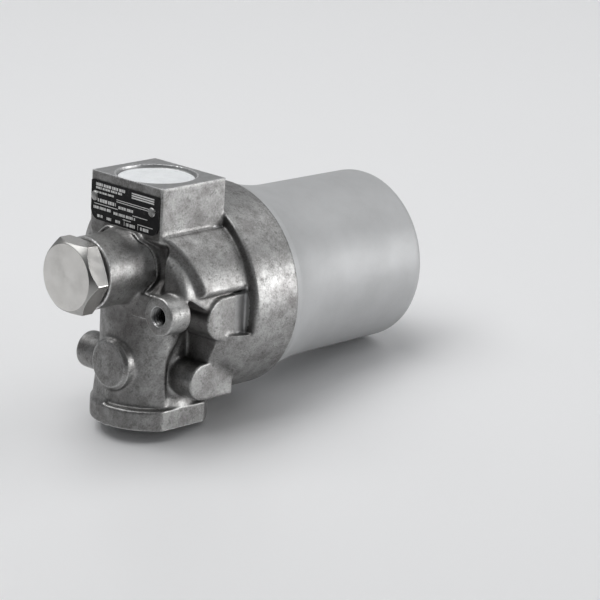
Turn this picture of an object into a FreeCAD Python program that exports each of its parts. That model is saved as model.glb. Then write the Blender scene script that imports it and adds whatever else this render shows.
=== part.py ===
# Hydraulic filter housing: a cast head with two threaded ports in line, a screwed-on
# bowl, a blanked indicator port and the filter element inside.
# Origin: centre of the outlet port's mouth. X runs along the bowl, Z along the ports.
import FreeCAD, Part
import math
import os

os.makedirs("parts", exist_ok=True)

Vec = FreeCAD.Vector
alongX = Vec(1, 0, 0)
alongY = Vec(0, 1, 0)
alongZ = Vec(0, 0, 1)

# Clearances
screwGap = 0.3          # between a smooth thread and its smooth hole
slideGap = 0.3          # between faces that part or turn on each other
fitGap = 0.05           # between pieces pressed or pushed together
seatGap = 0.1           # between flat faces that rest on each other
through = 2.0           # how far a cutting tool runs past the face that it opens
overlap = 1.0           # how far solids that are joined reach into each other
hair = 0.01             # lengths closer than this count as equal

# Rounds below this size are made as flat bevels, this share of the round's size wide
smallRound = 1.0
bevelShare = 0.6

# Head: overall places
headHeight = 106.8      # outlet face to inlet face
bowlAxisShare = 0.4925  # bowl axis above the outlet face, share of the height
blockFrontX = -17.2     # face that carries the name plate
portWidth = 44.0        # across the flats of the port block and the outlet flange

# Head: collar that takes the bowl
collarDia = 90.0
collarFrontX = 18.7
collarLength = 25.4
collarFrontRound = 1.8
collarRimRound = 0.8

# Head: drum and shoulder behind the ports
drumDia = 73.6
drumFrontX = 4.0
drumRound = 2.0
domeFrontX = -16.4
domeRound = 5.0
domeBandTop = 33.0      # top of the dome's and shoulder's band above the bowl axis
domeAboveAxis = 8.0
domeSlopeX = -11.0      # where its underside starts to slope down to the drum
domeSlopeBelowAxis = 3.0
shoulderDia = 81.2
shoulderAboveAxis = 8.8
shoulderNoseX = -17.2
shoulderNoseHalf = 20.0
shoulderSlant = 30.4    # degrees in plan
shoulderRound = 2.2

# Head: port block
blockAboveAxis = 28.0
blockEdgeRound = 1.0

# Head: column and flange round the outlet
columnDia = 44.0
columnFlatHalf = 20.0
columnNeckDia = 38.0
columnFootDia = 43.0
columnFootHeight = 9.0
columnFootRound = 2.0
columnNeckRound = 4.0
flankFootDia = 48.8     # drafted wall down the column's far side
flankTopBelowAxis = 19.0
flankNearY = 2.0
flangeDia = 50.6
flangeThick = 8.9
flangeEdgeRound = 1.2
flangeFaceRound = 0.4
pocketTopBelowAxis = 8.5
pocketTopX = 0.5
pocketSideX = -8.4
pocketBend = 24.0
pocketRound = 5.0
pocketFloorHalf = 17.6

# Head: boss of the blanked indicator port
plugBossDia = 31.54
plugBossAboveAxisShare = 0.1554     # share of the head's height
plugBossEndX = -38.9
plugBossRound = 0.5
plugBossFootX = -19.4
plugBossFootDia = 33.4
plugBossFootSlope = 4.0     # length of the foot's cone for each millimetre it widens
plugBossFootRound = 4.0
ringRidgeDia = 37.4
ringRidgeInnerDia = 34.6
ringRidgeX = -20.4
ringRidgeRound = 0.6
ringRidgeLean = 0.3
ringValleyX = -18.6

# Head: bosses with mounting threads
mountSpacing = 59.0
mountAboveAxis = 1.9
mountBossDia = 16.8
mountBossFaceX = -24.0
mountBossRound = 0.6
mountBossEndX = -12.3
mountBossEndRound = 1.6
mountHoleDia = 6.8
mountHoleSink = 1.0
webTopAboveAxis = 8.4
webBelowAxis = 4.6
webMidX = -20.6
webSideX = -17.6
webMidHalf = 15.0
webEndInset = 2.0       # web's end inside the boss's axis
webRound = 2.0

# Head: cast pads and the side boss
roundPadDia = 20.6
roundPadFaceX = -24.4
roundPadBelowAxis = 26.0
roundPadRound = 0.6
roundPadStepDia = 23.0
roundPadStep = 1.2
upperPadFaceY = 38.0
upperPadEndX = -3.0
upperPadTopZ = 7.4
upperPadBottomZ = -11.8
lowerPadFaceY = 32.0
lowerPadEndX = -6.2
lowerPadTopZ = -22.7
lowerPadBottomZ = -39.0
lowerPadSink = 0.2      # how far its rear end reaches into the collar
padBevel = 0.35
skirtFrontDia = 76.8    # flared wall between the pads, from the drum to the collar
skirtRearDia = 88.6
skirtTopZ = -10.0
skirtBottomZ = -38.0
padSkirtDepth = 20.0    # how far the flared wall reaches into the drum
sideBossDia = 16.4
sideBossX = -6.5
sideBossBelowAxis = 29.4
sideBossEndY = 31.6
sideBossRound = 0.8

# Head: ports, passages and seats
portBoreDia = 30.3
portBoreDepth = 20.0
portSinkDia = 34.4
portSinkDepth = 1.2
portBottomSlope = 1.8
passageDia = 24.0
inletDropBelowAxis = -19.0
inletThroatDia = 15.0
outletTopAboveAxis = 3.0
spigotHoleDia = 22.0
spigotCounterDia = 30.0
spigotCounterDepth = 2.0
chamberFloorX = 13.0
chamberDia = 73.0
bowlThreadDia = 78.0
bowlThreadLength = 13.0
collarLeadIn = 1.0
indicatorThreadDia = 20.0
indicatorThreadDepth = 16.0
indicatorDrillDia = 8.0
indicatorSink = 1.0
valveHoleDia = 11.0
valveBelowAxis = 24.0

# Bowl
bowlMouthDia = 86.2
bowlWaistDia = 77.0
bowlEndDia = 76.1
bowlWaistX = 75.9
bowlEndX = 131.2
bowlEdgeRound = 4.8
bowlInnerDia = 66.0
bowlFloorThick = 8.0
bowlInnerRound = 6.0
bowlRimGap = 0.6
bowlNoseX = 22.4
bowlNoseChamfer = 1.2
bowlThreadSetBack = 2.0     # where its thread starts, behind the collar's thread
neckLip = 3.0
flareShare = 0.27       # mouth's extra radius still left halfway along the flare
spannerFlats = 32.0
spannerHeight = 8.0

# Seals of the bowl
sealGrooveX = 25.0
sealSection = 2.6
backupThick = 1.4
grooveSpare = 0.6
grooveDepth = 2.2
sealRoundShare = 0.4    # corner round of a rubber ring, share of its height

# Blanking plug
plugFlats = 30.0
plugHeadThick = 9.3
plugChamferDia = 28.6
plugChamferAngle = 45.0
plugRearBevelShare = 0.3    # bevel at the hexagon's rear, share of the front one
plugTurn = 3.6          # how far the hexagon's corner has turned past the Y axis, degrees
plugShankLength = 12.0
plugReliefDia = 17.6
plugReliefLength = 2.2
plugBoreDia = 12.0
plugBoreDepth = 14.0
plugSealThick = 1.3
plugSealDia = 25.6

# Inlet cap
capSkirtLength = 13.0
capWall = 1.4
capRimDia = 32.2
capTopThick = 1.6
capDraft = 0.4
capRound = 0.4

# Name plate and its pins
plateWidth = 42.0
plateThick = 0.5
plateAboveBoss = 0.9    # plate's lower edge above the plug boss
plateSeatSpare = 0.4    # milled seat round the plate
plateSeatReach = 4.0
plateTopBelowInlet = 3.9
plateTopRound = 0.8
plateBottomRound = 4.6
pinDia = 4.2
pinShankDia = 2.0
pinHeadHeight = 0.8
pinShankLength = 5.0
pinDomeShare = 0.7      # round of the head's rim, share of its height
pinPointShare = 0.7
pinHighY = 18.8
pinLowY = -16.8
pinHeightShare = 0.41   # pins below the plate's top edge, share of its height

# Filter element
elementSpace = 3.0      # between the element and the bowl's wall
elementEndSpace = 5.2   # between the element and the bowl's floor
elementCoreDia = 30.0
elementCoreWall = 1.2
elementFrontX = 20.0
elementCapWall = 1.2
elementCapLip = 6.0
elementSleeveLength = 11.0
capEdgeRound = 0.9
pleatCount = 36
pleatThick = 1.7
pleatCrestShare = 1.6   # wall at a fold's crest, share of its thickness
pleatInnerSpace = 1.5   # between the core tube and the folds
coreHoleDia = 6.0
coreHoleRows = 6
coreHolesRound = 6
coreHoleMargin = 12.0
outerTubeWall = 1.8
outerTubeInset = 0.4
outerTubeRows = 4
outerTubeRound = 4
outerTubeSlotHalf = 12.0
outerTubeBandShare = 0.25   # solid band between two rows of slots, share of their pitch

# Spigot that carries the element
spigotDia = 26.0
spigotBore = 18.0
spigotFlangeDia = 29.6
spigotFlangeThick = 1.8
spigotEndX = 34.0
spigotTailLength = 5.0
spigotEdgeRound = 0.4
spigotEndRound = 1.2
elementRingX = 27.0
elementRingSection = 2.0
elementRingGrooveDepth = 1.6

# Bypass valve in the chamber's floor
valveSeatDia = 14.0
valveSeatThick = 2.4
valveSeatBore = 8.0
valveBodyWall = 1.0
valveBodyLength = 17.0
valveTravel = 4.0
poppetDia = 8.8
poppetHeadThick = 1.8
poppetStemDia = 3.0
poppetGuideLength = 2.0
poppetRound = 0.3
springDia = 7.4
springWire = 0.9
springTurns = 4.5
springWireSides = 8
retainerThick = 1.2
windowWidth = 4.5
windowLength = 7.0
windowCount = 3
windowInset = 1.5

# Values worked out from the above
inletZ = headHeight
bowlAxisZ = headHeight * bowlAxisShare
plugBossAboveAxis = headHeight * plugBossAboveAxisShare
collarRearX = collarFrontX + collarLength
portHalf = portWidth / 2
bowlRimX = collarRearX + bowlRimGap
plugAxisZ = bowlAxisZ + plugBossAboveAxis
mountZ = bowlAxisZ + mountAboveAxis
valveZ = bowlAxisZ - valveBelowAxis
bowlFloorX = bowlEndX - bowlFloorThick
elementRearX = bowlFloorX - elementEndSpace
elementLength = elementRearX - elementFrontX
elementDia = bowlInnerDia - 2 * elementSpace
outerTubeDia = elementDia - 2 * outerTubeInset
pleatOuterDia = outerTubeDia - 2 * outerTubeWall - 2 * slideGap
pleatInnerDia = elementCoreDia + 2 * pleatInnerSpace
plateTop = inletZ - plateTopBelowInlet
plateBottom = plugAxisZ + plugBossDia / 2 + plateAboveBoss
plateHeight = plateTop - plateBottom
pinZ = plateTop - plateHeight * pinHeightShare


def roundedWire(corners, radii):
    """Closed wire through the corners, each turned by an arc, or bevelled if it is small."""
    count = len(corners)
    edges = []
    starts = []
    ends = []
    middles = []
    for i in range(count):
        before = corners[i - 1] - corners[i]
        after = corners[(i + 1) % count] - corners[i]
        before.normalize()
        after.normalize()
        half = before.getAngle(after) / 2
        radius = radii[i]
        isArc = radius >= smallRound
        reach = radius / math.tan(half) * (1.0 if isArc else bevelShare)
        starts.append(corners[i] + before * reach)
        ends.append(corners[i] + after * reach)
        middle = before + after
        if isArc:
            middle.normalize()
            middles.append(corners[i] + middle * (radius / math.sin(half) - radius))
        else:
            middles.append(None)
    for i in range(count):
        if middles[i]:
            edges.append(Part.Arc(starts[i], middles[i], ends[i]).toShape())
        elif radii[i] > 0:
            edges.append(Part.LineSegment(starts[i], ends[i]).toShape())
        following = (i + 1) % count
        if (starts[following] - ends[i]).Length > 1e-6:
            edges.append(Part.LineSegment(ends[i], starts[following]).toShape())
    return Part.Wire(Part.sortEdges(edges)[0])


def turned(profile, centre, axis=alongX):
    """Solid of revolution. A profile row is (place along the axis, radius, corner round)."""
    across = alongY if abs(axis.z) > 0.5 else alongZ
    corners = [centre + axis * row[0] + across * row[1] for row in profile]
    wire = roundedWire(corners, [row[2] if len(row) > 2 else 0.0 for row in profile])
    return Part.Face(wire).revolve(centre, axis, 360)


def drilled(dia, length, start, axis):
    """Plain cylinder from a start point along an axis."""
    return Part.makeCylinder(dia / 2, length, start, axis)


def box(x0, x1, y0, y1, z0, z1):
    return Part.makeBox(x1 - x0, y1 - y0, z1 - z0, Vec(x0, y0, z0))


def planPrism(corners, radii, z0, z1):
    """Outline in plan (x, y), raised from z0 to z1."""
    wire = roundedWire([Vec(x, y, z0) for x, y in corners], radii)
    return Part.Face(wire).extrude(Vec(0, 0, z1 - z0))


def sidePrism(corners, radii, y0, y1):
    """Outline seen from the side (x, z), carried from y0 to y1."""
    wire = roundedWire([Vec(x, y0, z) for x, z in corners], radii)
    return Part.Face(wire).extrude(Vec(0, y1 - y0, 0))


def mirrored(shape):
    """The same form on the far side of the head's middle plane."""
    return shape.mirror(Vec(0, 0, 0), alongY)


def fused(first, others):
    """Join pieces one after the other."""
    for other in others:
        first = first.fuse(other)
    return first


def opened(shape, tools):
    """Take the tools away one after the other."""
    for tool in tools:
        shape = shape.cut(tool)
    return shape


def hexPrism(flats, x0, length, centreZ, turn):
    """Hexagonal bar along X, its corners turned by an angle in degrees."""
    corner = flats / 2 / math.cos(math.radians(30))
    points = []
    for i in range(6):
        angle = math.radians(turn + 60 * i)
        points.append(Vec(x0, corner * math.cos(angle), centreZ + corner * math.sin(angle)))
    return Part.Face(Part.makePolygon(points + points[:1])).extrude(Vec(length, 0, 0))


def ring(outer, inner, x0, length, centreZ=bowlAxisZ):
    """Flat ring or tube about an axis along X."""
    start = Vec(x0, 0, centreZ)
    hole = drilled(inner, length + 2 * through, start - alongX * through, alongX)
    return drilled(outer, length, start, alongX).cut(hole)


# Cast head, outside

bowlCentre = Vec(0, 0, bowlAxisZ)
plugCentre = Vec(0, 0, plugAxisZ)


def collarBody():
    radius = collarDia / 2
    return turned([(collarFrontX, 0), (collarFrontX, radius, collarFrontRound),
                   (collarRearX, radius, collarRimRound), (collarRearX, 0)], bowlCentre)


def drumBody():
    radius = drumDia / 2
    rear = collarFrontX + overlap
    drum = turned([(drumFrontX, 0), (drumFrontX, radius, drumRound), (rear, radius),
                   (rear, 0)], bowlCentre)
    dome = turned([(domeFrontX, 0), (domeFrontX, radius, domeRound), (rear, radius),
                   (rear, 0)], bowlCentre)
    edge = bowlAxisZ + domeAboveAxis
    foot = bowlAxisZ - domeSlopeBelowAxis
    top = bowlAxisZ + domeBandTop
    start = domeFrontX - through
    upper = sidePrism([(start, edge), (domeSlopeX, edge), (drumFrontX + drumRound, foot),
                       (rear, foot), (rear, top), (start, top)], [0, 0, 0, 0, 0, 0],
                      -radius, radius)
    return drum.fuse(dome.common(upper))


def shoulderBody():
    """Raised band over the drum, cut back in plan by a slanted nose, one on each side."""
    radius = shoulderDia / 2
    rear = collarFrontX + overlap
    widest = radius + through
    tailX = shoulderNoseX + (widest - shoulderNoseHalf) * math.tan(math.radians(shoulderSlant))
    band = turned([(shoulderNoseX, 0), (shoulderNoseX, radius), (rear, radius), (rear, 0)],
                  bowlCentre)
    side = planPrism([(shoulderNoseX, -shoulderNoseHalf), (tailX, -widest), (rear, -widest),
                      (rear, 0), (shoulderNoseX, 0)], [0, 0, 0, 0, 0],
                     bowlAxisZ + shoulderAboveAxis, inletZ)
    half = band.common(side)
    lower = box(shoulderNoseX, rear, -widest, 0, 0, bowlAxisZ + domeBandTop)
    half = half.common(lower)
    edges = []
    for edge in half.Edges:
        middle = edge.valueAt((edge.FirstParameter + edge.LastParameter) / 2)
        outside = math.hypot(middle.y, middle.z - bowlAxisZ) > radius - hair
        isNose = outside and middle.x < tailX
        isLowerEdge = outside and abs(middle.z - bowlAxisZ - shoulderAboveAxis) < hair
        if (isNose or isLowerEdge) and middle.y < -shoulderNoseHalf:
            edges.append(edge)
    half = half.makeFillet(shoulderRound, edges)
    return half.fuse(mirrored(half))


def portBlock():
    rear = collarFrontX + overlap
    block = box(blockFrontX, rear, -portHalf, portHalf, bowlAxisZ + blockAboveAxis, inletZ)
    edges = [edge for edge in block.Edges
             if abs(edge.CenterOfMass.x - blockFrontX) < hair
             and abs(abs(edge.CenterOfMass.y) - portHalf) < hair]
    return block.makeFillet(blockEdgeRound, edges)


def plugBoss():
    boss = plugBossDia / 2
    foot = plugBossFootDia / 2
    inner = ringRidgeInnerDia / 2
    outer = ringRidgeDia / 2
    return turned([(plugBossEndX, 0), (plugBossEndX, boss, plugBossRound),
                   (plugBossFootX - plugBossFootSlope * (foot - boss), boss, plugBossFootRound),
                   (ringValleyX, foot), (ringValleyX, inner),
                   (ringRidgeX, inner + ringRidgeLean, ringRidgeRound),
                   (ringRidgeX, outer - ringRidgeLean, ringRidgeRound),
                   (domeFrontX + overlap, outer), (domeFrontX + overlap, 0)], plugCentre)


def outletFlange():
    radius = flangeDia / 2
    disc = turned([(0, 0), (0, radius, flangeFaceRound), (flangeThick, radius, flangeEdgeRound),
                   (flangeThick, 0)], Vec(0, 0, 0), alongZ)
    return disc.common(box(-radius, radius, -portHalf, portHalf, 0, flangeThick))


def outletColumn():
    """Wall round the outlet passage: a broad rounded front that steps back to a neck."""
    radius = columnDia / 2
    bottom = flangeThick - overlap
    top = plugAxisZ
    front = drilled(columnDia, top - bottom, Vec(0, 0, bottom), alongZ)
    front = front.common(box(-radius, drumFrontX + overlap, -columnFlatHalf, columnFlatHalf,
                             bottom, top))
    pocketTop = bowlAxisZ - pocketTopBelowAxis
    pocket = sidePrism([(radius + through, pocketTop), (pocketTopX, pocketTop),
                        (pocketSideX, bowlAxisZ - pocketBend), (pocketSideX, bottom - through),
                        (radius + through, bottom - through)], [0, pocketRound, pocketRound, 0, 0],
                       -radius - through, -pocketFloorHalf)
    front = front.cut(pocket).cut(mirrored(pocket))
    neck = columnNeckDia / 2
    foot = columnFootDia / 2
    core = turned([(bottom, 0), (bottom, foot), (flangeThick + overlap, foot, columnFootRound),
                   (flangeThick + columnFootHeight, neck, columnNeckRound),
                   (bowlAxisZ, neck), (bowlAxisZ, 0)], Vec(0, 0, 0), alongZ)
    rear = box(drumFrontX, collarFrontX + overlap, -neck, neck, bottom, bowlAxisZ)
    return fused(front, [core, rear])


def columnFlank():
    """Drafted wall on the column's far side, running down to the flange's rim."""
    foot = flankFootDia / 2
    bottom = flangeThick - overlap
    top = bowlAxisZ - flankTopBelowAxis
    cone = turned([(bottom, 0), (bottom, foot), (top, columnDia / 2 - seatGap), (top, 0)],
                  Vec(0, 0, 0), alongZ)
    return cone.common(box(-foot, pocketSideX, flankNearY, columnFlatHalf, bottom, top))


def mountBoss(y):
    radius = mountBossDia / 2
    return turned([(mountBossFaceX, 0), (mountBossFaceX, radius, mountBossRound),
                   (mountBossEndX, radius, mountBossEndRound), (mountBossEndX, 0)],
                  Vec(0, y, mountZ))


def mountWeb():
    """Wall that ties both threaded bosses to the column."""
    end = mountSpacing / 2 - webEndInset
    rearX = mountBossEndX - mountBossEndRound
    return planPrism([(webMidX, -webMidHalf), (webMidX, webMidHalf), (webSideX, end),
                      (rearX, end), (rearX, -end), (webSideX, -end)],
                     [webRound, webRound, webRound, 0, 0, webRound],
                     mountZ - webBelowAxis, bowlAxisZ + webTopAboveAxis)


def roundPad():
    radius = roundPadDia / 2
    foot = roundPadStepDia / 2
    stepX = roundPadFaceX + roundPadStep
    return turned([(roundPadFaceX, 0), (roundPadFaceX, radius, roundPadRound), (stepX, radius),
                   (stepX, foot, roundPadRound), (stepX + radius, foot), (stepX + radius, 0)],
                  Vec(0, 0, bowlAxisZ - roundPadBelowAxis))


def sidePad(faceY, endX, topZ, bottomZ, rearX, depth):
    """Flat pad with a half-round end, standing out of the drum."""
    radius = (topZ - bottomZ) / 2
    middle = bowlAxisZ + (topZ + bottomZ) / 2
    outline = sidePrism([(endX, middle + radius), (rearX, middle + radius),
                         (rearX, middle - radius), (endX, middle - radius)],
                        [radius - hair, 0, 0, radius - hair], -faceY, -faceY + depth)
    face = [edge for edge in outline.Edges
            if abs(edge.CenterOfMass.y + faceY) < hair and edge.CenterOfMass.x < rearX - hair]
    return outline.makeChamfer(padBevel, face)


def sidePads():
    upper = sidePad(upperPadFaceY, upperPadEndX, upperPadTopZ, upperPadBottomZ,
                    collarFrontX + overlap, upperPadFaceY - columnFlatHalf)
    lower = sidePad(lowerPadFaceY, lowerPadEndX, lowerPadTopZ, lowerPadBottomZ,
                    collarFrontX + lowerPadSink, lowerPadFaceY - pocketFloorHalf + overlap)
    return [upper, mirrored(upper), lower, mirrored(lower)]


def padSkirt():
    """Flared wall between the two pads that carries the drum out to the collar."""
    front = skirtFrontDia / 2
    rearX = collarFrontX + overlap
    rear = skirtRearDia / 2
    flare = turned([(drumFrontX, 0), (drumFrontX, front), (collarFrontX, rear), (rearX, rear),
                    (rearX, 0)], bowlCentre)
    reach = drumDia / 2 - padSkirtDepth
    side = box(drumFrontX, rearX, -rear, -reach, bowlAxisZ + skirtBottomZ, bowlAxisZ + skirtTopZ)
    half = flare.common(side)
    return [half, mirrored(half)]


def sideBoss():
    radius = sideBossDia / 2
    length = sideBossEndY
    return turned([(0, 0), (0, radius), (length, radius, sideBossRound), (length, 0)],
                  Vec(sideBossX, 0, bowlAxisZ - sideBossBelowAxis), alongY)


# Cast head, inside


def portWay(z, inward, passageEnd):
    """Threaded port in one turned form: sink, thread bore, and the plain passage behind."""
    sink = portSinkDia / 2
    bore = portBoreDia / 2
    passage = passageDia / 2
    slopeEnd = portSinkDepth + sink - bore
    return turned([(-through, 0), (-through, sink), (portSinkDepth, sink), (slopeEnd, bore),
                   (portBoreDepth, bore), (portBoreDepth + portBottomSlope, passage),
                   (passageEnd, passage), (passageEnd, 0)], Vec(0, 0, z), alongZ * inward)


def passages():
    """Both ports, the throat from the inlet to the chamber, and the seats in its floor."""
    inletEnd = inletZ - bowlAxisZ + inletDropBelowAxis
    outletEnd = bowlAxisZ + outletTopAboveAxis
    throatZ = inletZ - inletEnd + inletThroatDia / 2
    spigot = spigotHoleDia / 2
    counter = spigotCounterDia / 2
    counterX = chamberFloorX - spigotCounterDepth
    valve = valveHoleDia / 2
    seat = valveSeatDia / 2 + fitGap
    seatX = chamberFloorX - valveSeatThick
    past = chamberFloorX + through
    return [portWay(inletZ, -1, inletEnd), portWay(0, 1, outletEnd),
            drilled(inletThroatDia, past, Vec(0, 0, throatZ), alongX),
            turned([(0, 0), (0, spigot), (counterX, spigot), (counterX, counter), (past, counter),
                    (past, 0)], bowlCentre),
            turned([(0, 0), (0, valve), (seatX, valve), (seatX, seat), (past, seat), (past, 0)],
                   Vec(0, 0, valveZ))]


def bowlSocket():
    """Chamber round the element's end, seal bore and thread of the collar."""
    thread = bowlThreadDia / 2
    chamber = chamberDia / 2
    threadX = collarRearX - bowlThreadLength
    taper = thread - chamber
    return turned([(chamberFloorX, 0), (chamberFloorX, chamber), (threadX - taper, chamber),
                   (threadX, thread), (collarRearX - collarLeadIn, thread),
                   (collarRearX + through, thread + collarLeadIn + through),
                   (collarRearX + through, 0)], bowlCentre)


def indicatorPort():
    """Thread for an indicator, with a drilled way on to the inlet passage."""
    radius = indicatorThreadDia / 2
    drill = indicatorDrillDia / 2
    depth = indicatorThreadDepth
    sink = radius + indicatorSink
    return turned([(-through, 0), (-through, sink), (0, sink), (indicatorSink, radius),
                   (depth, radius), (depth + radius - drill, drill), (-plugBossEndX, drill),
                   (-plugBossEndX, 0)], Vec(plugBossEndX, 0, plugAxisZ))


def mountHole(y):
    """Hole tapped right through a boss, its mouth sunk."""
    radius = mountHoleDia / 2
    sink = radius + mountHoleSink
    end = mountBossEndX - mountBossFaceX + through
    return turned([(-through, 0), (-through, sink), (0, sink), (mountHoleSink, radius),
                   (end, radius), (end, 0)], Vec(mountBossFaceX, y, mountZ))


def plateSeat():
    """Milled flat that the name plate lies on, cut through anything standing over it."""
    half = plateWidth / 2 + plateSeatSpare
    return box(blockFrontX - plateSeatReach, blockFrontX, -half, half,
               plateBottom - plateSeatSpare, inletZ + through)


def pinHole(y):
    start = Vec(blockFrontX - through, y, pinZ)
    return drilled(pinShankDia + 2 * fitGap, pinShankLength + 2 * through, start, alongX)


def castHead():
    bosses = [mountBoss(-mountSpacing / 2), mountBoss(mountSpacing / 2)]
    solids = [drumBody(), shoulderBody(), portBlock(), plugBoss(), outletFlange(),
              outletColumn(), columnFlank(), mountWeb(), roundPad(), sideBoss()]
    head = fused(collarBody(), solids + bosses + padSkirt() + sidePads())
    holes = passages() + [bowlSocket(), indicatorPort(), plateSeat()]
    for y in (-mountSpacing / 2, mountSpacing / 2):
        holes.append(mountHole(y))
    for y in (pinLowY, pinHighY):
        holes.append(pinHole(y))
    return opened(head, holes)


# Bowl and its seals


def bowlBody():
    """Cup with a flared mouth, a waist that draws in, a male thread and a seal nose."""
    mouth = bowlMouthDia / 2
    waist = bowlWaistDia / 2
    end = bowlEndDia / 2
    inner = bowlInnerDia / 2
    thread = bowlThreadDia / 2 - screwGap
    nose = chamberDia / 2 - slideGap
    threadX = collarRearX - bowlThreadLength + bowlThreadSetBack
    flare = Part.Arc(Vec(bowlRimX + neckLip, 0, bowlAxisZ + mouth),
                     Vec((bowlRimX + neckLip + bowlWaistX) / 2, 0,
                         bowlAxisZ + waist + (mouth - waist) * flareShare),
                     Vec(bowlWaistX, 0, bowlAxisZ + waist)).toShape()
    edges = [Part.LineSegment(Vec(bowlRimX, 0, bowlAxisZ), Vec(bowlRimX, 0, bowlAxisZ + mouth)),
             Part.LineSegment(Vec(bowlRimX, 0, bowlAxisZ + mouth),
                              Vec(bowlRimX + neckLip, 0, bowlAxisZ + mouth))]
    edges = [edge.toShape() for edge in edges] + [flare]
    edges.append(Part.LineSegment(Vec(bowlWaistX, 0, bowlAxisZ + waist),
                                  Vec(bowlWaistX, 0, bowlAxisZ)).toShape())
    edges.append(Part.LineSegment(Vec(bowlWaistX, 0, bowlAxisZ),
                                  Vec(bowlRimX, 0, bowlAxisZ)).toShape())
    neck = Part.Face(Part.Wire(Part.sortEdges(edges)[0])).revolve(bowlCentre, alongX, 360)
    barrel = turned([(bowlWaistX, 0), (bowlWaistX, waist), (bowlEndX, end, bowlEdgeRound),
                     (bowlEndX, 0)], bowlCentre)
    joint = bowlRimX + overlap
    male = turned([(bowlNoseX, 0), (bowlNoseX, nose, bowlNoseChamfer), (threadX, nose),
                   (threadX + thread - nose, thread), (joint, thread), (joint, 0)], bowlCentre)
    cavity = turned([(bowlNoseX - through, 0), (bowlNoseX - through, inner),
                     (bowlFloorX, inner, bowlInnerRound), (bowlFloorX, 0)], bowlCentre)
    spanner = hexPrism(spannerFlats, bowlEndX - overlap, spannerHeight + overlap, bowlAxisZ, 0)
    groove = ring(chamberDia + through, chamberDia - 2 * grooveDepth - 2 * slideGap,
                  sealGrooveX, grooveWidth())
    return fused(neck, [barrel, male, spanner]).cut([cavity, groove])


def grooveWidth():
    return sealSection + backupThick + grooveSpare


def rubberRing(inner, outer, start, length):
    """Sealing ring squeezed to a barrel section between two radii."""
    bend = (outer - inner) * sealRoundShare
    return turned([(start, inner, bend), (start + length, inner, bend),
                   (start + length, outer, bend), (start, outer, bend)], bowlCentre)


def bowlSeal():
    floor = chamberDia / 2 - grooveDepth - slideGap
    return rubberRing(floor + fitGap, chamberDia / 2 - fitGap, sealGrooveX + grooveSpare / 3,
                      sealSection)


def bowlBackup():
    floor = chamberDia / 2 - grooveDepth - slideGap
    start = sealGrooveX + grooveSpare * 2 / 3 + sealSection
    return ring(chamberDia - 2 * fitGap, 2 * floor + 2 * fitGap, start, backupThick)


# Blanking plug, its seal, the inlet cap and the name plate


def plugBody():
    faceX = plugBossEndX - plugSealThick - 2 * seatGap
    outerX = faceX - plugHeadThick
    corner = plugFlats / 2 / math.cos(math.radians(30))
    bevel = (corner - plugChamferDia / 2) * math.tan(math.radians(plugChamferAngle))
    hexagon = hexPrism(plugFlats, outerX, plugHeadThick, plugAxisZ, 180 + plugTurn)
    face = plugChamferDia / 2
    envelope = turned([(outerX, 0), (outerX, face), (outerX + bevel, corner),
                       (faceX - bevel * plugRearBevelShare, corner), (faceX, face), (faceX, 0)],
                      plugCentre)
    relief = plugReliefDia / 2
    shank = indicatorThreadDia / 2 - screwGap
    slope = shank - relief
    reliefEndX = faceX + plugReliefLength
    endX = plugBossEndX + plugShankLength
    stem = turned([(faceX - overlap, 0), (faceX - overlap, relief), (reliefEndX, relief),
                   (reliefEndX + slope, shank), (endX - slope, shank), (endX, relief), (endX, 0)],
                  plugCentre)
    bore = drilled(plugBoreDia, plugBoreDepth, Vec(endX - plugBoreDepth, 0, plugAxisZ), alongX)
    return fused(hexagon.common(envelope), [stem]).cut(bore)


def plugSeal():
    return ring(plugSealDia, indicatorThreadDia + 2 * slideGap,
                plugBossEndX - seatGap - plugSealThick, plugSealThick, plugAxisZ)


def inletCap():
    """Push-in cover: a disc that sits in the port's sink, with a thin skirt below it."""
    outer = portBoreDia / 2 - slideGap
    rim = capRimDia / 2
    shelf = inletZ - portSinkDepth - (portSinkDia - capRimDia) / 2
    lean = rim - outer
    top = shelf + capTopThick / 2
    bottom = shelf - capSkirtLength
    inner = outer - capWall
    return turned([(shelf - lean, 0), (shelf - lean, inner, capRound), (bottom, inner - capDraft),
                   (bottom, outer - capDraft, capRound), (shelf - lean, outer),
                   (shelf, rim - seatGap), (top, rim - seatGap, capRound), (top, 0)],
                  Vec(0, 0, 0), alongZ)


def namePlate():
    """Thin plate with two pin holes, its lower corners widely rounded."""
    half = plateWidth / 2
    rearX = blockFrontX - seatGap
    wire = roundedWire([Vec(rearX, -half, plateTop), Vec(rearX, half, plateTop),
                        Vec(rearX, half, plateBottom), Vec(rearX, -half, plateBottom)],
                       [plateTopRound, plateTopRound, plateBottomRound, plateBottomRound])
    plate = Part.Face(wire).extrude(Vec(-plateThick, 0, 0))
    for y in (pinLowY, pinHighY):
        start = Vec(rearX - plateThick - through, y, pinZ)
        hole = drilled(pinShankDia + 2 * seatGap, plateThick + 2 * through, start, alongX)
        plate = plate.cut(hole)
    return plate


def platePin(y):
    """Round-head drive pin through the plate into the head."""
    seat = blockFrontX - plateThick - 2 * seatGap
    radius = pinDia / 2
    shank = pinShankDia / 2
    return turned([(seat - pinHeadHeight, 0), (seat - pinHeadHeight, radius, pinHeadHeight * pinDomeShare),
                   (seat, radius), (seat, shank), (seat + pinShankLength, shank * pinPointShare),
                   (seat + pinShankLength, 0)], Vec(0, y, pinZ))


# Element spigot and bypass valve


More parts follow.
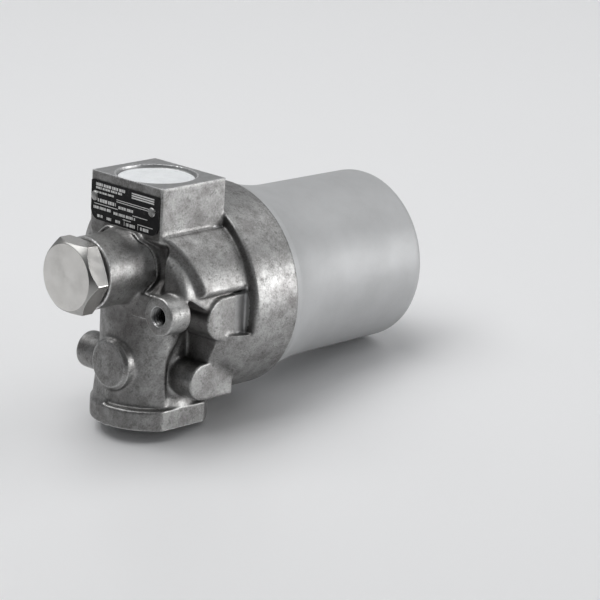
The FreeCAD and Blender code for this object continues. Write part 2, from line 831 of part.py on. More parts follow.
def elementSpigot():
    """Turned sleeve held in the chamber's floor, with a groove for the element's ring."""
    outer = spigotDia / 2
    flange = spigotFlangeDia / 2
    bore = spigotBore / 2
    tail = spigotHoleDia / 2 - fitGap
    seatX = chamberFloorX - spigotCounterDepth + seatGap
    groove = outer - elementRingGrooveDepth
    grooveEnd = elementRingX + elementRingSection + grooveSpare
    return turned([(seatX - spigotTailLength, bore), (seatX - spigotTailLength, tail, spigotEdgeRound),
                   (seatX, tail), (seatX, flange),
                   (seatX + spigotFlangeThick, flange, spigotEdgeRound),
                   (seatX + spigotFlangeThick, outer), (elementRingX, outer), (elementRingX, groove),
                   (grooveEnd, groove), (grooveEnd, outer), (spigotEndX, outer, spigotEndRound),
                   (spigotEndX, bore)], bowlCentre)


def elementRing():
    floor = spigotDia / 2 - elementRingGrooveDepth
    return rubberRing(floor + fitGap, spigotDia / 2 + slideGap - fitGap,
                      elementRingX + grooveSpare / 3, elementRingSection)


def valveFaceX():
    return chamberFloorX - valveSeatThick + seatGap


def valveBody():
    """Cage pressed into the chamber's floor: seat ring, windowed tube and open end."""
    seat = valveSeatDia / 2
    tube = valveHoleDia / 2 - fitGap
    inner = tube - valveBodyWall
    faceX = valveFaceX()
    bore = valveSeatBore / 2
    seatX = faceX + valveSeatThick - seatGap
    cage = turned([(seatX, bore), (seatX, seat), (faceX, seat), (faceX, tube),
                   (faceX - valveBodyLength, tube), (faceX - valveBodyLength, inner),
                   (faceX, inner), (faceX, bore)], Vec(0, 0, valveZ))
    windowX = faceX - windowInset
    for i in range(windowCount):
        window = box(windowX - windowLength, windowX, -windowWidth / 2, windowWidth / 2,
                     valveZ, valveZ + seat)
        window.rotate(Vec(0, 0, valveZ), alongX, 360 / windowCount * (i + 0.5))
        cage = cage.cut(window)
    return cage


def poppet():
    """Flat disc valve with a guide stem, resting on the seat."""
    faceX = valveFaceX() - seatGap
    backX = faceX - poppetHeadThick
    stem = poppetStemDia / 2
    endX = valveFaceX() - valveBodyLength + retainerThick + valveTravel
    guideX = backX - poppetGuideLength
    guide = springDia / 2 - springWire - slideGap
    return turned([(faceX, 0), (faceX, poppetDia / 2, poppetRound), (backX, poppetDia / 2),
                   (backX, guide), (guideX, guide, poppetRound), (guideX, stem),
                   (endX, stem, poppetRound), (endX, 0)], Vec(0, 0, valveZ))


def retainer():
    """Disc at the open end of the cage that the spring bears on."""
    outer = valveHoleDia / 2 - fitGap - valveBodyWall - fitGap
    startX = valveFaceX() - valveBodyLength
    return ring(2 * outer, poppetStemDia + 2 * slideGap, startX, retainerThick, valveZ)


def valveSpring():
    """Helical spring between the poppet's back and the retainer."""
    startX = valveFaceX() - valveBodyLength + retainerThick + springWire / 2 + fitGap
    endX = valveFaceX() - seatGap - poppetHeadThick - springWire / 2 - fitGap
    length = endX - startX
    radius = (springDia - springWire) / 2
    helix = Part.makeHelix(length / springTurns, length, radius)
    corners = []
    for i in range(springWireSides + 1):
        angle = 2 * math.pi * i / springWireSides
        corners.append(Vec(radius + springWire / 2 * math.cos(angle), 0,
                           springWire / 2 * math.sin(angle)))
    section = Part.makePolygon(corners)
    coil = Part.Wire(helix.Edges).makePipeShell([section], True, True)
    coil.rotate(Vec(0, 0, 0), alongY, 90)
    coil.translate(Vec(startX, 0, valveZ))
    return coil


# Filter element


def endCap(x, facing, open_):
    """Pressed cap: disc with a turned-up rim, facing the media."""
    outer = elementDia / 2
    thick = elementCapWall
    profile = [(x, 0), (x, outer, capEdgeRound), (x + facing * elementCapLip, outer),
               (x + facing * elementCapLip, outer - thick), (x + facing * thick, outer - thick),
               (x + facing * thick, 0)]
    cap = turned(profile, bowlCentre)
    if not open_:
        return cap
    sleeve = elementCoreDia - 2 * elementCoreWall - 2 * fitGap
    tube = ring(sleeve, spigotDia + 2 * slideGap, x, elementSleeveLength)
    opening = drilled(sleeve - overlap, elementCapWall + 2 * through,
                      Vec(x - through, 0, bowlAxisZ), alongX)
    return fused(cap.cut(opening), [tube])


def coreTube():
    """Perforated tube that the media bears on."""
    start = elementFrontX + elementCapWall + seatGap
    length = elementLength - 2 * (elementCapWall + seatGap)
    tube = ring(elementCoreDia, elementCoreDia - 2 * elementCoreWall, start, length)
    holes = []
    pitch = (length - 2 * coreHoleMargin) / (coreHoleRows - 1)
    for row in range(coreHoleRows):
        for i in range(coreHolesRound // 2):
            angle = math.radians(360 / coreHolesRound * (i + 0.5 * (row % 2)))
            way = Vec(0, math.cos(angle), math.sin(angle))
            centre = Vec(start + coreHoleMargin + pitch * row, 0, bowlAxisZ)
            holes.append(drilled(coreHoleDia, elementCoreDia + 2 * through,
                                 centre - way * (elementCoreDia / 2 + through), way))
    return tube.cut(holes)


def pleatedMedia():
    """Star-folded wall: each fold runs from the inner to the outer diameter and back."""
    start = elementFrontX + elementCapWall + seatGap
    length = elementLength - 2 * (elementCapWall + seatGap)
    inner = pleatInnerDia / 2
    outer = pleatOuterDia / 2
    step = math.pi / pleatCount
    outside = []
    inside = []
    for i in range(2 * pleatCount):
        angle = step * i
        crest = i % 2 == 0
        outRadius = outer if crest else inner + pleatThick
        inRadius = outer - pleatThick * pleatCrestShare if crest else inner
        outside.append(Vec(start, outRadius * math.cos(angle), bowlAxisZ + outRadius * math.sin(angle)))
        inside.append(Vec(start, inRadius * math.cos(angle), bowlAxisZ + inRadius * math.sin(angle)))
    shell = Part.Face(Part.makePolygon(outside + outside[:1])).extrude(Vec(length, 0, 0))
    hollow = Part.Face(Part.makePolygon(inside + inside[:1])).extrude(Vec(length, 0, 0))
    return shell.cut(hollow)


def outerTube():
    """Thin open support round the folds: end rings joined by bars, with wide slots."""
    start = elementFrontX + elementCapLip + slideGap
    length = elementLength - 2 * (elementCapLip + slideGap)
    outer = outerTubeDia / 2
    inner = outer - outerTubeWall
    tube = ring(outerTubeDia, 2 * inner, start, length)
    pitch = length / outerTubeRows
    band = pitch * outerTubeBandShare
    step = 360 / outerTubeRound
    for row in range(outerTubeRows):
        x = start + pitch * row + band / 2
        for i in range(outerTubeRound):
            slot = box(x, x + pitch - band, inner - through, outer + through,
                       bowlAxisZ - outerTubeSlotHalf, bowlAxisZ + outerTubeSlotHalf)
            slot.rotate(bowlCentre, alongX, step / 2 + step * i)
            tube = tube.cut(slot)
    return tube


def save(shape, node):
    solids = shape.Solids
    print(node, "solids", len(solids), "valid", shape.isValid(), "volume", round(shape.Volume, 1))
    whole = solids[0] if len(solids) == 1 else shape
    whole.exportStep("parts/" + node + ".step")


save(castHead(), "head_casting")
save(bowlBody(), "bowl")
save(bowlSeal(), "bowl_seal_ring")
save(bowlBackup(), "bowl_backup_ring")
save(plugBody(), "blanking_plug")
save(plugSeal(), "plug_seal_ring")
save(inletCap(), "inlet_cap")
save(namePlate(), "name_plate")
save(platePin(pinHighY), "plate_pin_far")
save(platePin(pinLowY), "plate_pin_near")
save(elementSpigot(), "element_spigot")
save(elementRing(), "element_seal_ring")
save(valveBody(), "bypass_valve_body")
save(poppet(), "bypass_poppet")
save(valveSpring(), "bypass_spring")
save(retainer(), "bypass_spring_seat")
save(endCap(elementFrontX, 1, True), "element_front_cap")
save(endCap(elementRearX, -1, False), "element_rear_cap")
save(coreTube(), "element_core_tube")
save(pleatedMedia(), "element_pleats")
save(outerTube(), "element_outer_tube")
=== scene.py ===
# Looks of a hydraulic filter housing: blasted cast head, satin bowl, turned blanking plug,
# plastic cap in the inlet, black name plate, sealing rings and the filter element.
import math

import bpy
import bmesh
import numpy as np
from mathutils import Matrix, Vector
from mathutils.bvhtree import BVHTree
from mathutils.kdtree import KDTree


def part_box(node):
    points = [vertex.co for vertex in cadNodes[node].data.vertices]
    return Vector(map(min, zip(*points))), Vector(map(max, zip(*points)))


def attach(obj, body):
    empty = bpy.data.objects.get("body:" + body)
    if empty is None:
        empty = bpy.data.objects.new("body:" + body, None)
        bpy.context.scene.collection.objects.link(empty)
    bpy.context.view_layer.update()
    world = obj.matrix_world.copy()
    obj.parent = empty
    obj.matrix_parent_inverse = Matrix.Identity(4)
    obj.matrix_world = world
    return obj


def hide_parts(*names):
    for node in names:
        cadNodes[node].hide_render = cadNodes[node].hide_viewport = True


mm = 0.001

print("loading the packed housing")
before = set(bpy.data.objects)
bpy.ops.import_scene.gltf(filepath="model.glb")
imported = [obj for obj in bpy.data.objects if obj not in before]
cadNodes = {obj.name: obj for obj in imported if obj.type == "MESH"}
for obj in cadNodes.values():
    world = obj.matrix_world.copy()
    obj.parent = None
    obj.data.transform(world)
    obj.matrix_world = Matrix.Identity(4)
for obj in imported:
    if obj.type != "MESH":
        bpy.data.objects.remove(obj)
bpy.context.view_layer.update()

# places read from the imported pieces
headLow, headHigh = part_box("head_casting")
bowlLow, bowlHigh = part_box("bowl")
plugLow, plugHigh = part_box("blanking_plug")
plateLow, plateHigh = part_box("name_plate")
capLow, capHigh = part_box("inlet_cap")
bowlAxisZ = (bowlLow.z + bowlHigh.z) / 2
plugAxisZ = (plugLow.z + plugHigh.z) / 2
inletZ = headHigh.z
collarRearX = headHigh.x
plugBossX = headLow.x


# Grids and profiles

def placed(name, data):
    # a new object, unturned at the origin
    piece = bpy.data.objects.new(name, data)
    bpy.context.scene.collection.objects.link(piece)
    return piece


def meshFromArrays(name, points, quads):
    # equal points are joined and faces that shrink to nothing go, so seams and poles close
    mesh = bpy.data.meshes.new(name)
    mesh.from_pydata(points.tolist(), [], quads.tolist())
    piece = placed(name, mesh)
    work = bmesh.new()
    work.from_mesh(mesh)
    bmesh.ops.remove_doubles(work, verts=work.verts, dist=1e-7)
    bmesh.ops.dissolve_degenerate(work, edges=work.edges, dist=1e-8)
    bmesh.ops.recalc_face_normals(work, faces=work.faces)
    work.to_mesh(mesh)
    work.free()
    return piece


def meshFromGrid(name, grid, closedRows=False):
    # quads between neighbours of a (rows, columns) grid of places, closed round the columns
    rows, columns = grid.shape[:2]
    i, j = np.meshgrid(np.arange(rows if closedRows else rows - 1), np.arange(columns),
                       indexing="ij")
    iNext = (i + 1) % rows
    jNext = (j + 1) % columns
    quads = np.stack([i * columns + j, i * columns + jNext,
                      iNext * columns + jNext, iNext * columns + j], axis=-1).reshape(-1, 4)
    return meshFromArrays(name, grid.reshape(-1, 3), quads)


def roundedProfile(corners, steps=4):
    # (along, radius, round) corners to points: each corner is an arc between its tangent
    # points, with one guard point on either side that keeps the flats' shading flat
    along = np.array([[c[0], c[1]] for c in corners], float)
    rounds = [c[2] if len(c) > 2 else 0.0 for c in corners]
    points = [along[0]]
    for k in range(1, len(along) - 1):
        toLast = along[k - 1] - along[k]
        toNext = along[k + 1] - along[k]
        lastLength = np.linalg.norm(toLast)
        nextLength = np.linalg.norm(toNext)
        toLast, toNext = toLast / lastLength, toNext / nextLength
        half = math.acos(float(np.clip(toLast @ toNext, -1, 1))) / 2
        if rounds[k] <= 0 or half > 1.55:
            points.append(along[k])
            continue
        reach = min(rounds[k] / math.tan(half), lastLength * 0.45, nextLength * 0.45)
        radius = reach * math.tan(half)
        guard = min(reach * 0.5, lastLength * 0.04, nextLength * 0.04)
        inward = (toLast + toNext) / np.linalg.norm(toLast + toNext)
        middle = along[k] + inward * radius / math.sin(half)
        first, last = along[k] + toLast * reach, along[k] + toNext * reach
        share = np.linspace(0, 1, steps + 1)[:, None]
        chord = first + (last - first) * share - middle
        arc = middle + chord / np.linalg.norm(chord, axis=1)[:, None] * radius
        points += [first + toLast * guard, *arc, last + toNext * guard]
    points.append(along[-1])
    return np.array(points)


def denser(profile, low, high, step):
    # extra points on every stretch of a profile between two places along the axis
    out = [profile[0]]
    for a, b in zip(profile[:-1], profile[1:]):
        inside = min(a[0], b[0]) > low - 1e-9 and max(a[0], b[0]) < high + 1e-9
        count = max(1, int(abs(b[0] - a[0]) / step)) if inside else 1
        out += [a + (b - a) * k / count for k in range(1, count + 1)]
    return np.array(out)


axisFrames = {
    "x": (Vector((1, 0, 0)), Vector((0, 1, 0)), Vector((0, 0, 1))),
    "z": (Vector((0, 0, 1)), Vector((1, 0, 0)), Vector((0, 1, 0))),
}


def around(profile, centre, axis, columns, swell=None):
    # point = centre + axis * along + (cos t, sin t) * radius, t once round; swell adds to radius
    along, side, up = (np.array(v) for v in axisFrames[axis])
    turn = np.linspace(0, 2 * math.pi, columns, endpoint=False)
    radius = np.repeat(profile[:, 1:2], columns, axis=1)
    if swell is not None:
        radius = radius + swell(profile[:, 0:1], turn[None, :], radius)
    radius = np.maximum(radius, 0.0)
    ring = np.cos(turn)[None, :, None] * side + np.sin(turn)[None, :, None] * up
    return np.array(centre) + profile[:, 0][:, None, None] * along + radius[:, :, None] * ring


def threadWave(along, turn, pitch):
    # flat-topped triangle of along / pitch - turn / full turn: 0 on a crest, 1 in a valley
    phase = (along / pitch - turn / (2 * math.pi)) % 1.0
    return np.clip(1.7 * np.abs(2 * phase - 1) - 0.35, 0, 1)


def threadSwell(start, end, pitch, depth, crest):
    # depth * wave, faded out over one pitch at both ends, on the rows at the crest's radius
    def swell(along, turn, radius):
        fade = np.clip((along - start) / pitch, 0, 1) * np.clip((end - along) / pitch, 0, 1)
        onThread = (along > start) & (along < end) & (np.abs(radius - crest) < 0.02 * mm)
        wave = threadWave(along, turn, pitch) * np.minimum(1, 1.5 * fade)
        return np.where(onThread, depth * wave, 0.0)
    return swell


def turnedPiece(name, corners, centre, axis, columns):
    # profile in millimetres turned about an axis through centre
    return meshFromGrid(name, around(roundedProfile(corners) * mm, centre, axis, columns))


def smoothFaces(mesh):
    mesh.polygons.foreach_set("use_smooth", np.ones(len(mesh.polygons), bool))


def smoothShading(piece, angle):
    # smooth, but with edges over the angle kept sharp
    smoothFaces(piece.data)
    piece.data.set_sharp_from_angle(angle=math.radians(angle))


def onto(piece, body, slotName, material, *nodes):
    # finish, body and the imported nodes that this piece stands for
    piece.data.materials.clear()
    piece.data.materials.append(material)
    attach(piece, body)
    if nodes:
        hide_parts(*nodes)
    return piece


# Finishes

def newGroup(name, inputs, outputs):
    group = bpy.data.node_groups.new(name, "ShaderNodeTree")
    for label, kind, value in inputs:
        socket = group.interface.new_socket(name=label, in_out="INPUT", socket_type=kind)
        socket.default_value = value
    for label, kind in outputs:
        group.interface.new_socket(name=label, in_out="OUTPUT", socket_type=kind)
    return group, group.nodes.new("NodeGroupInput"), group.nodes.new("NodeGroupOutput")


def mathNode(tree, operation, a, b=None, c=None):
    node = tree.nodes.new("ShaderNodeMath")
    node.operation = operation
    for k, value in enumerate((a, b, c)):
        if value is None:
            continue
        if isinstance(value, (int, float)):
            node.inputs[k].default_value = value
        else:
            tree.links.new(value, node.inputs[k])
    return node.outputs[0]


def noiseNode(tree, vector, scale, detail=2.0, rough=0.5):
    node = tree.nodes.new("ShaderNodeTexNoise")
    node.inputs["Detail"].default_value = detail
    node.inputs["Roughness"].default_value = rough
    tree.links.new(vector, node.inputs["Vector"])
    if isinstance(scale, (int, float)):
        node.inputs["Scale"].default_value = scale
    else:
        tree.links.new(scale, node.inputs["Scale"])
    return node.outputs["Fac"]


def rampNode(tree, value, low, high, toLow=0.0, toHigh=1.0):
    node = tree.nodes.new("ShaderNodeMapRange")
    node.inputs["From Min"].default_value = low
    node.inputs["From Max"].default_value = high
    node.inputs["To Min"].default_value = toLow
    node.inputs["To Max"].default_value = toHigh
    tree.links.new(value, node.inputs["Value"])
    return node.outputs["Result"]


def mixColour(tree, share, first, second):
    node = tree.nodes.new("ShaderNodeMix")
    node.data_type = "RGBA"
    tree.links.new(share, node.inputs["Factor"])
    for value, socket in ((first, node.inputs["A"]), (second, node.inputs["B"])):
        if isinstance(value, (tuple, list)):
            socket.default_value = (*value[:3], 1.0)
        else:
            tree.links.new(value, socket)
    return node.outputs["Result"]


def buildMottleGroup():
    # blotches, grain and specks on object coordinates, as masks and one height
    group, source, sink = newGroup(
        "castMottle",
        [("Vector", "NodeSocketVector", (0, 0, 0)), ("Blotch Scale", "NodeSocketFloat", 170.0),
         ("Grain Scale", "NodeSocketFloat", 1500.0), ("Speck Scale", "NodeSocketFloat", 420.0)],
        [("Blotch", "NodeSocketFloat"), ("Cloud", "NodeSocketFloat"), ("Grain", "NodeSocketFloat"),
         ("Specks", "NodeSocketFloat"), ("Height", "NodeSocketFloat")])
    place = source.outputs["Vector"]
    blotch = rampNode(group, noiseNode(group, place, source.outputs["Blotch Scale"], 3, 0.6),
                      0.32, 0.68)
    cloudScale = mathNode(group, "MULTIPLY", source.outputs["Blotch Scale"], 0.36)
    cloud = rampNode(group, noiseNode(group, place, cloudScale, 4, 0.7), 0.42, 0.66)
    grain = noiseNode(group, place, source.outputs["Grain Scale"], 2, 0.55)
    specks = rampNode(group, noiseNode(group, place, source.outputs["Speck Scale"], 2, 0.5),
                      0.62, 0.72)
    height = mathNode(group, "ADD", mathNode(group, "MULTIPLY", grain, 0.7),
                      mathNode(group, "MULTIPLY", specks, -0.35))
    for label, value in (("Blotch", blotch), ("Cloud", cloud), ("Grain", grain),
                         ("Specks", specks), ("Height", height)):
        group.links.new(value, sink.inputs[label])
    return group


mottleGroup = buildMottleGroup()


def newMaterial(name):
    material = bpy.data.materials.new(name)
    material.use_nodes = True
    tree = material.node_tree
    shader = tree.nodes["Principled BSDF"]
    place = tree.nodes.new("ShaderNodeTexCoord").outputs["Object"]
    return material, tree, shader, place


def mottled(name, look):
    # colour runs from dark to light with the blotches, grain shifts roughness and height
    material, tree, shader, place = newMaterial(name)
    group = tree.nodes.new("ShaderNodeGroup")
    group.node_tree = mottleGroup
    tree.links.new(place, group.inputs["Vector"])
    group.inputs["Blotch Scale"].default_value = look["blotchScale"]
    group.inputs["Grain Scale"].default_value = look["grainScale"]
    group.inputs["Speck Scale"].default_value = look["speckScale"]
    colour = mixColour(tree, group.outputs["Blotch"], look["dark"], look["light"])
    grainShare = rampNode(tree, group.outputs["Grain"], 0.3, 0.7, 0.0, look["grainTint"])
    colour = mixColour(tree, grainShare, colour, look["grainColour"])
    if "cloudTint" in look:
        # broad darker patches, as blasting leaves them
        cloudShare = mathNode(tree, "MULTIPLY", group.outputs["Cloud"], look["cloudTint"])
        colour = mixColour(tree, cloudShare, colour, look["cloudColour"])
    speckShare = mathNode(tree, "MULTIPLY", group.outputs["Specks"], look["speckTint"])
    colour = mixColour(tree, speckShare, colour, look["speckAndShadeColour"])
    if "shadeDark" in look:
        # painted shade: the open share of the sky over a point darkens the colour in crevices,
        # towards the speck colour
        sky = tree.nodes.new("ShaderNodeAttribute")
        sky.attribute_name = "sky"
        shade = rampNode(tree, sky.outputs["Fac"], look["shadeFrom"], look["shadeTo"],
                         1.0 - look["shadeDark"], 0.0)
        colour = mixColour(tree, shade, colour, look["speckAndShadeColour"])
    if "wearAndHighlightTint" in look:
        # edges rubbed bare, with painted highlight: lighter where a point stands over its
        # surroundings
        wearAndHighlight = tree.nodes.new("ShaderNodeAttribute")
        wearAndHighlight.attribute_name = "wearAndHighlight"
        bareAndHighlit = rampNode(tree, wearAndHighlight.outputs["Fac"], look["wearAndHighlightFrom"], look["wearAndHighlightTo"], 0.0,
                        look["wearAndHighlightTint"])
        broken = mathNode(tree, "MULTIPLY", bareAndHighlit, rampNode(tree, group.outputs["Grain"], 0.25, 0.55))
        colour = mixColour(tree, broken, colour, look["wearAndHighlightColour"])
    tree.links.new(colour, shader.inputs["Base Color"])
    tree.links.new(rampNode(tree, group.outputs["Blotch"], 0, 1, look["roughHigh"],
                            look["roughLow"]), shader.inputs["Roughness"])
    shader.inputs["Metallic"].default_value = look["metal"]
    shader.inputs["Specular IOR Level"].default_value = look.get("specular", 0.5)
    if look.get("bump", 0) > 0:
        bump = tree.nodes.new("ShaderNodeBump")
        bump.inputs["Strength"].default_value = look["bump"]
        bump.inputs["Distance"].default_value = look["bumpDepth"] * mm
        tree.links.new(group.outputs["Height"], bump.inputs["Height"])
        tree.links.new(bump.outputs["Normal"], shader.inputs["Normal"])
    return material, tree, shader


def grey(value):
    return (value, value, value)


castLook = {
    "dark": (0.205, 0.201, 0.197), "light": (0.385, 0.385, 0.381), "grainColour": (0.55, 0.55, 0.54),
    "grainTint": 0.6, "speckAndShadeColour": (0.06, 0.056, 0.054), "speckTint": 0.4,
    "cloudColour": (0.115, 0.104, 0.103), "cloudTint": 0.5,
    "blotchScale": 210.0, "grainScale": 1300.0, "speckScale": 520.0,
    "roughLow": 0.40, "roughHigh": 0.52, "metal": 0.95, "bump": 0.45, "bumpDepth": 0.2,
    "shadeFrom": 0.12, "shadeTo": 0.62, "shadeDark": 0.12,
    "wearAndHighlightFrom": 0.06, "wearAndHighlightTo": 0.16, "wearAndHighlightColour": (0.74, 0.74, 0.73), "wearAndHighlightTint": 0.7,
}
machinedLook = {
    "shadeFrom": 0.1, "shadeTo": 0.7, "shadeDark": 0.2,
    "wearAndHighlightFrom": 0.05, "wearAndHighlightTo": 0.15, "wearAndHighlightColour": grey(0.85), "wearAndHighlightTint": 0.8,
    "dark": grey(0.36), "light": grey(0.45), "grainColour": grey(0.53),
    "grainTint": 0.3, "speckAndShadeColour": grey(0.40), "speckTint": 0.2,
    "blotchScale": 260.0, "grainScale": 900.0, "speckScale": 300.0,
    "roughLow": 0.34, "roughHigh": 0.44, "metal": 0.9, "bump": 0.25, "bumpDepth": 0.04,
}
bowlLook = {
    "dark": (0.46, 0.464, 0.468), "light": (0.505, 0.51, 0.515), "grainColour": (0.55, 0.555, 0.56),
    "grainTint": 0.35, "speckAndShadeColour": grey(0.42), "speckTint": 0.08,
    "blotchScale": 60.0, "grainScale": 2200.0, "speckScale": 260.0,
    "roughLow": 0.54, "roughHigh": 0.6, "metal": 0.55, "bump": 0.35, "bumpDepth": 0.05,
}
turnedLook = {
    "dark": (0.66, 0.645, 0.62), "light": (0.74, 0.725, 0.70), "grainColour": (0.78, 0.77, 0.75),
    "grainTint": 0.3, "speckAndShadeColour": (0.5, 0.49, 0.47), "speckTint": 0.1,
    "blotchScale": 140.0, "grainScale": 1400.0, "speckScale": 300.0,
    "roughLow": 0.19, "roughHigh": 0.27, "metal": 1.0,
}
rubberLook = {
    "dark": grey(0.018), "light": grey(0.03), "grainColour": grey(0.05),
    "grainTint": 0.3, "speckAndShadeColour": grey(0.09), "speckTint": 0.15,
    "blotchScale": 200.0, "grainScale": 1200.0, "speckScale": 500.0,
    "roughLow": 0.5, "roughHigh": 0.62, "metal": 0.0, "bump": 0.2, "bumpDepth": 0.05,
}
silverLook = {
    "dark": (0.30, 0.30, 0.295), "light": (0.42, 0.42, 0.415), "grainColour": (0.55, 0.55, 0.54),
    "grainTint": 0.3, "speckAndShadeColour": grey(0.12), "speckTint": 0.35,
    "blotchScale": 420.0, "grainScale": 2600.0, "speckScale": 900.0,
    "roughLow": 0.34, "roughHigh": 0.45, "metal": 0.85, "bump": 0.2, "bumpDepth": 0.03,
}
plateLook = {
    "dark": (0.010, 0.010, 0.011), "light": (0.016, 0.016, 0.017),
    "grainColour": grey(0.03), "grainTint": 0.35, "speckAndShadeColour": grey(0.12),
    "speckTint": 0.25, "blotchScale": 260.0, "grainScale": 2400.0, "speckScale": 700.0,
    "roughLow": 0.3, "roughHigh": 0.4, "metal": 0.0, "specular": 0.1, "bump": 0.12,
    "bumpDepth": 0.03,
}


def simpleLook(colour, metal, rough, bump=0.15):
    # a mottled finish worked out from one colour: a little darker, lighter and speckled
    shade = [tuple(min(1.0, c * f) for c in colour) for f in (0.88, 1.0, 1.12, 0.7)]
    return {"dark": shade[0], "light": shade[1], "grainColour": shade[2], "grainTint": 0.35,
            "speckAndShadeColour": shade[3], "speckTint": 0.2, "blotchScale": 160.0,
            "grainScale": 1500.0, "speckScale": 500.0, "roughLow": rough,
            "roughHigh": rough + 0.08, "metal": metal, "bump": bump, "bumpDepth": 0.04}


threadLook = simpleLook(grey(0.5), 1.0, 0.3)
threadLook.update({"shadeFrom": 0.1, "shadeTo": 0.95, "shadeDark": 0.0,
                   "speckAndShadeColour": grey(0.012)})


def turnedSheen(tree, shader, axis, amount):
    # brushed sheen that runs round the axis of a lathe-turned face
    tangent = tree.nodes.new("ShaderNodeTangent")
    tangent.direction_type = "RADIAL"
    tangent.axis = axis
    tree.links.new(tangent.outputs["Tangent"], shader.inputs["Tangent"])
    shader.inputs["Anisotropic"].default_value = amount


looks = {
    "castMetal": castLook,
    "machinedMetal": machinedLook,
    "threadMetal": threadLook,
    "chamferPaintedShade": simpleLook((0.40, 0.396, 0.385), 1.0, 0.32),
    "bowlMetal": bowlLook,
    "sealRubber": rubberLook,
    "pinMetal": silverLook,
    "plateInk": simpleLook((0.78, 0.78, 0.77), 0.1, 0.5),
    "platePaint": plateLook,
    "backupPlastic": simpleLook((0.80, 0.80, 0.77), 0.0, 0.4),
    "valveBrass": simpleLook((0.62, 0.47, 0.20), 1.0, 0.26),
    "springSteel": simpleLook((0.42, 0.42, 0.43), 1.0, 0.3),
    "zincSheet": simpleLook((0.60, 0.60, 0.59), 1.0, 0.32),
    "spigotMetal": simpleLook(grey(0.66), 1.0, 0.3),
    "mediaFleece": simpleLook((0.72, 0.68, 0.56), 0.0, 0.8, 0.6),
    "supportPlastic": simpleLook((0.04, 0.04, 0.042), 0.0, 0.42),
}

print("mixing the finishes")
finishes = {name: mottled(name, look)[0] for name, look in looks.items()}
turnedMetal, turnedTree, turnedShader = mottled("turnedMetal", turnedLook)
turnedSheen(turnedTree, turnedShader, "X", 0.6)

# the cap lets some light in
capPlastic, _, capShader = mottled("capPlastic", simpleLook((0.82, 0.84, 0.85), 0.0, 0.36, 0.1))
capShader.inputs["Subsurface Weight"].default_value = 0.5
capShader.inputs["Subsurface Radius"].default_value = (1.0, 1.0, 1.0)
capShader.inputs["Subsurface Scale"].default_value = 2.0 * mm
capShader.inputs["Specular IOR Level"].default_value = 0.4


# Head casting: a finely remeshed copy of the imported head, softened where it is cast

headCast = {
    "voxel": 0.5,           # remesh size
    "roundPasses": 4,       # neighbour averaging on every cast surface
    "fillPasses": 16,       # averaging that only adds metal, so inner corners fill out
    "triangles": 165000,    # kept after thinning
    "longEdge": 2.4,        # longer edges are halved afterwards
    "sharpAngle": 38,
    # machined places
    "skin": 0.32,           # how near a machined face a point counts as on it
    "portRadius": 15.15, "portRim": 2.4, "portDeep": 24.0, "passage": 12.6,
    "frontGap": 0.5,        # nearer the block's front face than this the skin is cast
    "chamberReach": 40.4,   # inside this radius of the bowl's axis the collar is machined
    "chamberFloor": 12.7,
    "plugBore": 11.4, "plugBoreEndX": 4.0,
    "plateEdge": 0.9,
    "tapRadius": 3.4, "tapRim": 1.2, "tapSpacing": 59.0, "tapHeight": 1.9, "tapEndX": -12.3,
    "tapOpening": 4.15,     # the wall lies this far out, behind the thread's ridges
    # forms of the cast skin
    "padBelowAxis": 26.0, "padReach": 12.6, "padFootX": -22.6, "padHold": 0.85,
    "roundCorners": [(-12.4, 22.0, 0.6, 8.3, 5.0), (-8.6, 20.0, 11.0, 46.0, 5.0)],
    "cornerPasses": 40, "cornerFade": 1.5,
    "hollowFrom": 7.0, "hollowFull": 18.0, "hollowEnd": 25.0, "hollowEndFade": 4.0,
    "hollowLow": 60.0, "hollowLowFade": 8.0, "hollowTop": 83.5, "hollowTopFade": 3.0,
    "hollowOffBoss": (15.9, 17.2), "hollowAhead": (8.0, 12.0), "hollowDepth": 5.0,
    "rimBar": ((-17.2, -9.0, -1.5), (-16.55, 9.0, 0.0)),    # thin wall before the inlet's rim
    # painted shade in hollows and on the front, worn edges with painted highlight
    "skyRays": 12, "skyReach": 22.0, "skyLift": 0.3, "skyPasses": 6,
    "frontDark": 0.53, "frontLean": (0.4, 0.9),
    "wearAndHighlightPasses": 5,
    "pitsAndCornerShade": [(27.4, -44.1, 61.7, 0.8), (33.5, -43.2, 64.5, 0.6), (26.0, -40.0, 73.2, 0.6),
             (-14.5, -19.0, 64.5, 7.0)],
}


def remeshed(source, voxel):
    # closed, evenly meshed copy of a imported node
    mesh = source.data.copy()
    copy = placed("headCopy", mesh)
    work = bmesh.new()
    work.from_mesh(mesh)
    bmesh.ops.remove_doubles(work, verts=work.verts, dist=2e-6)
    rimPoints, rimFaces = blockCorners(*headCast["rimBar"])
    corners = [work.verts.new((x * mm, y * mm, inletZ + z * mm)) for x, y, z in rimPoints]
    for face in rimFaces:
        work.faces.new([corners[k] for k in face])
    work.to_mesh(mesh)
    work.free()
    modifier = copy.modifiers.new("remesh", "REMESH")
    modifier.mode = "VOXEL"
    modifier.voxel_size = voxel
    return copy


def applied(piece, name):
    # the piece with its modifiers worked in, as a new mesh
    graph = bpy.context.evaluated_depsgraph_get()
    mesh = bpy.data.meshes.new_from_object(piece.evaluated_get(graph))
    mesh.name = name
    bpy.data.objects.remove(piece)
    return mesh


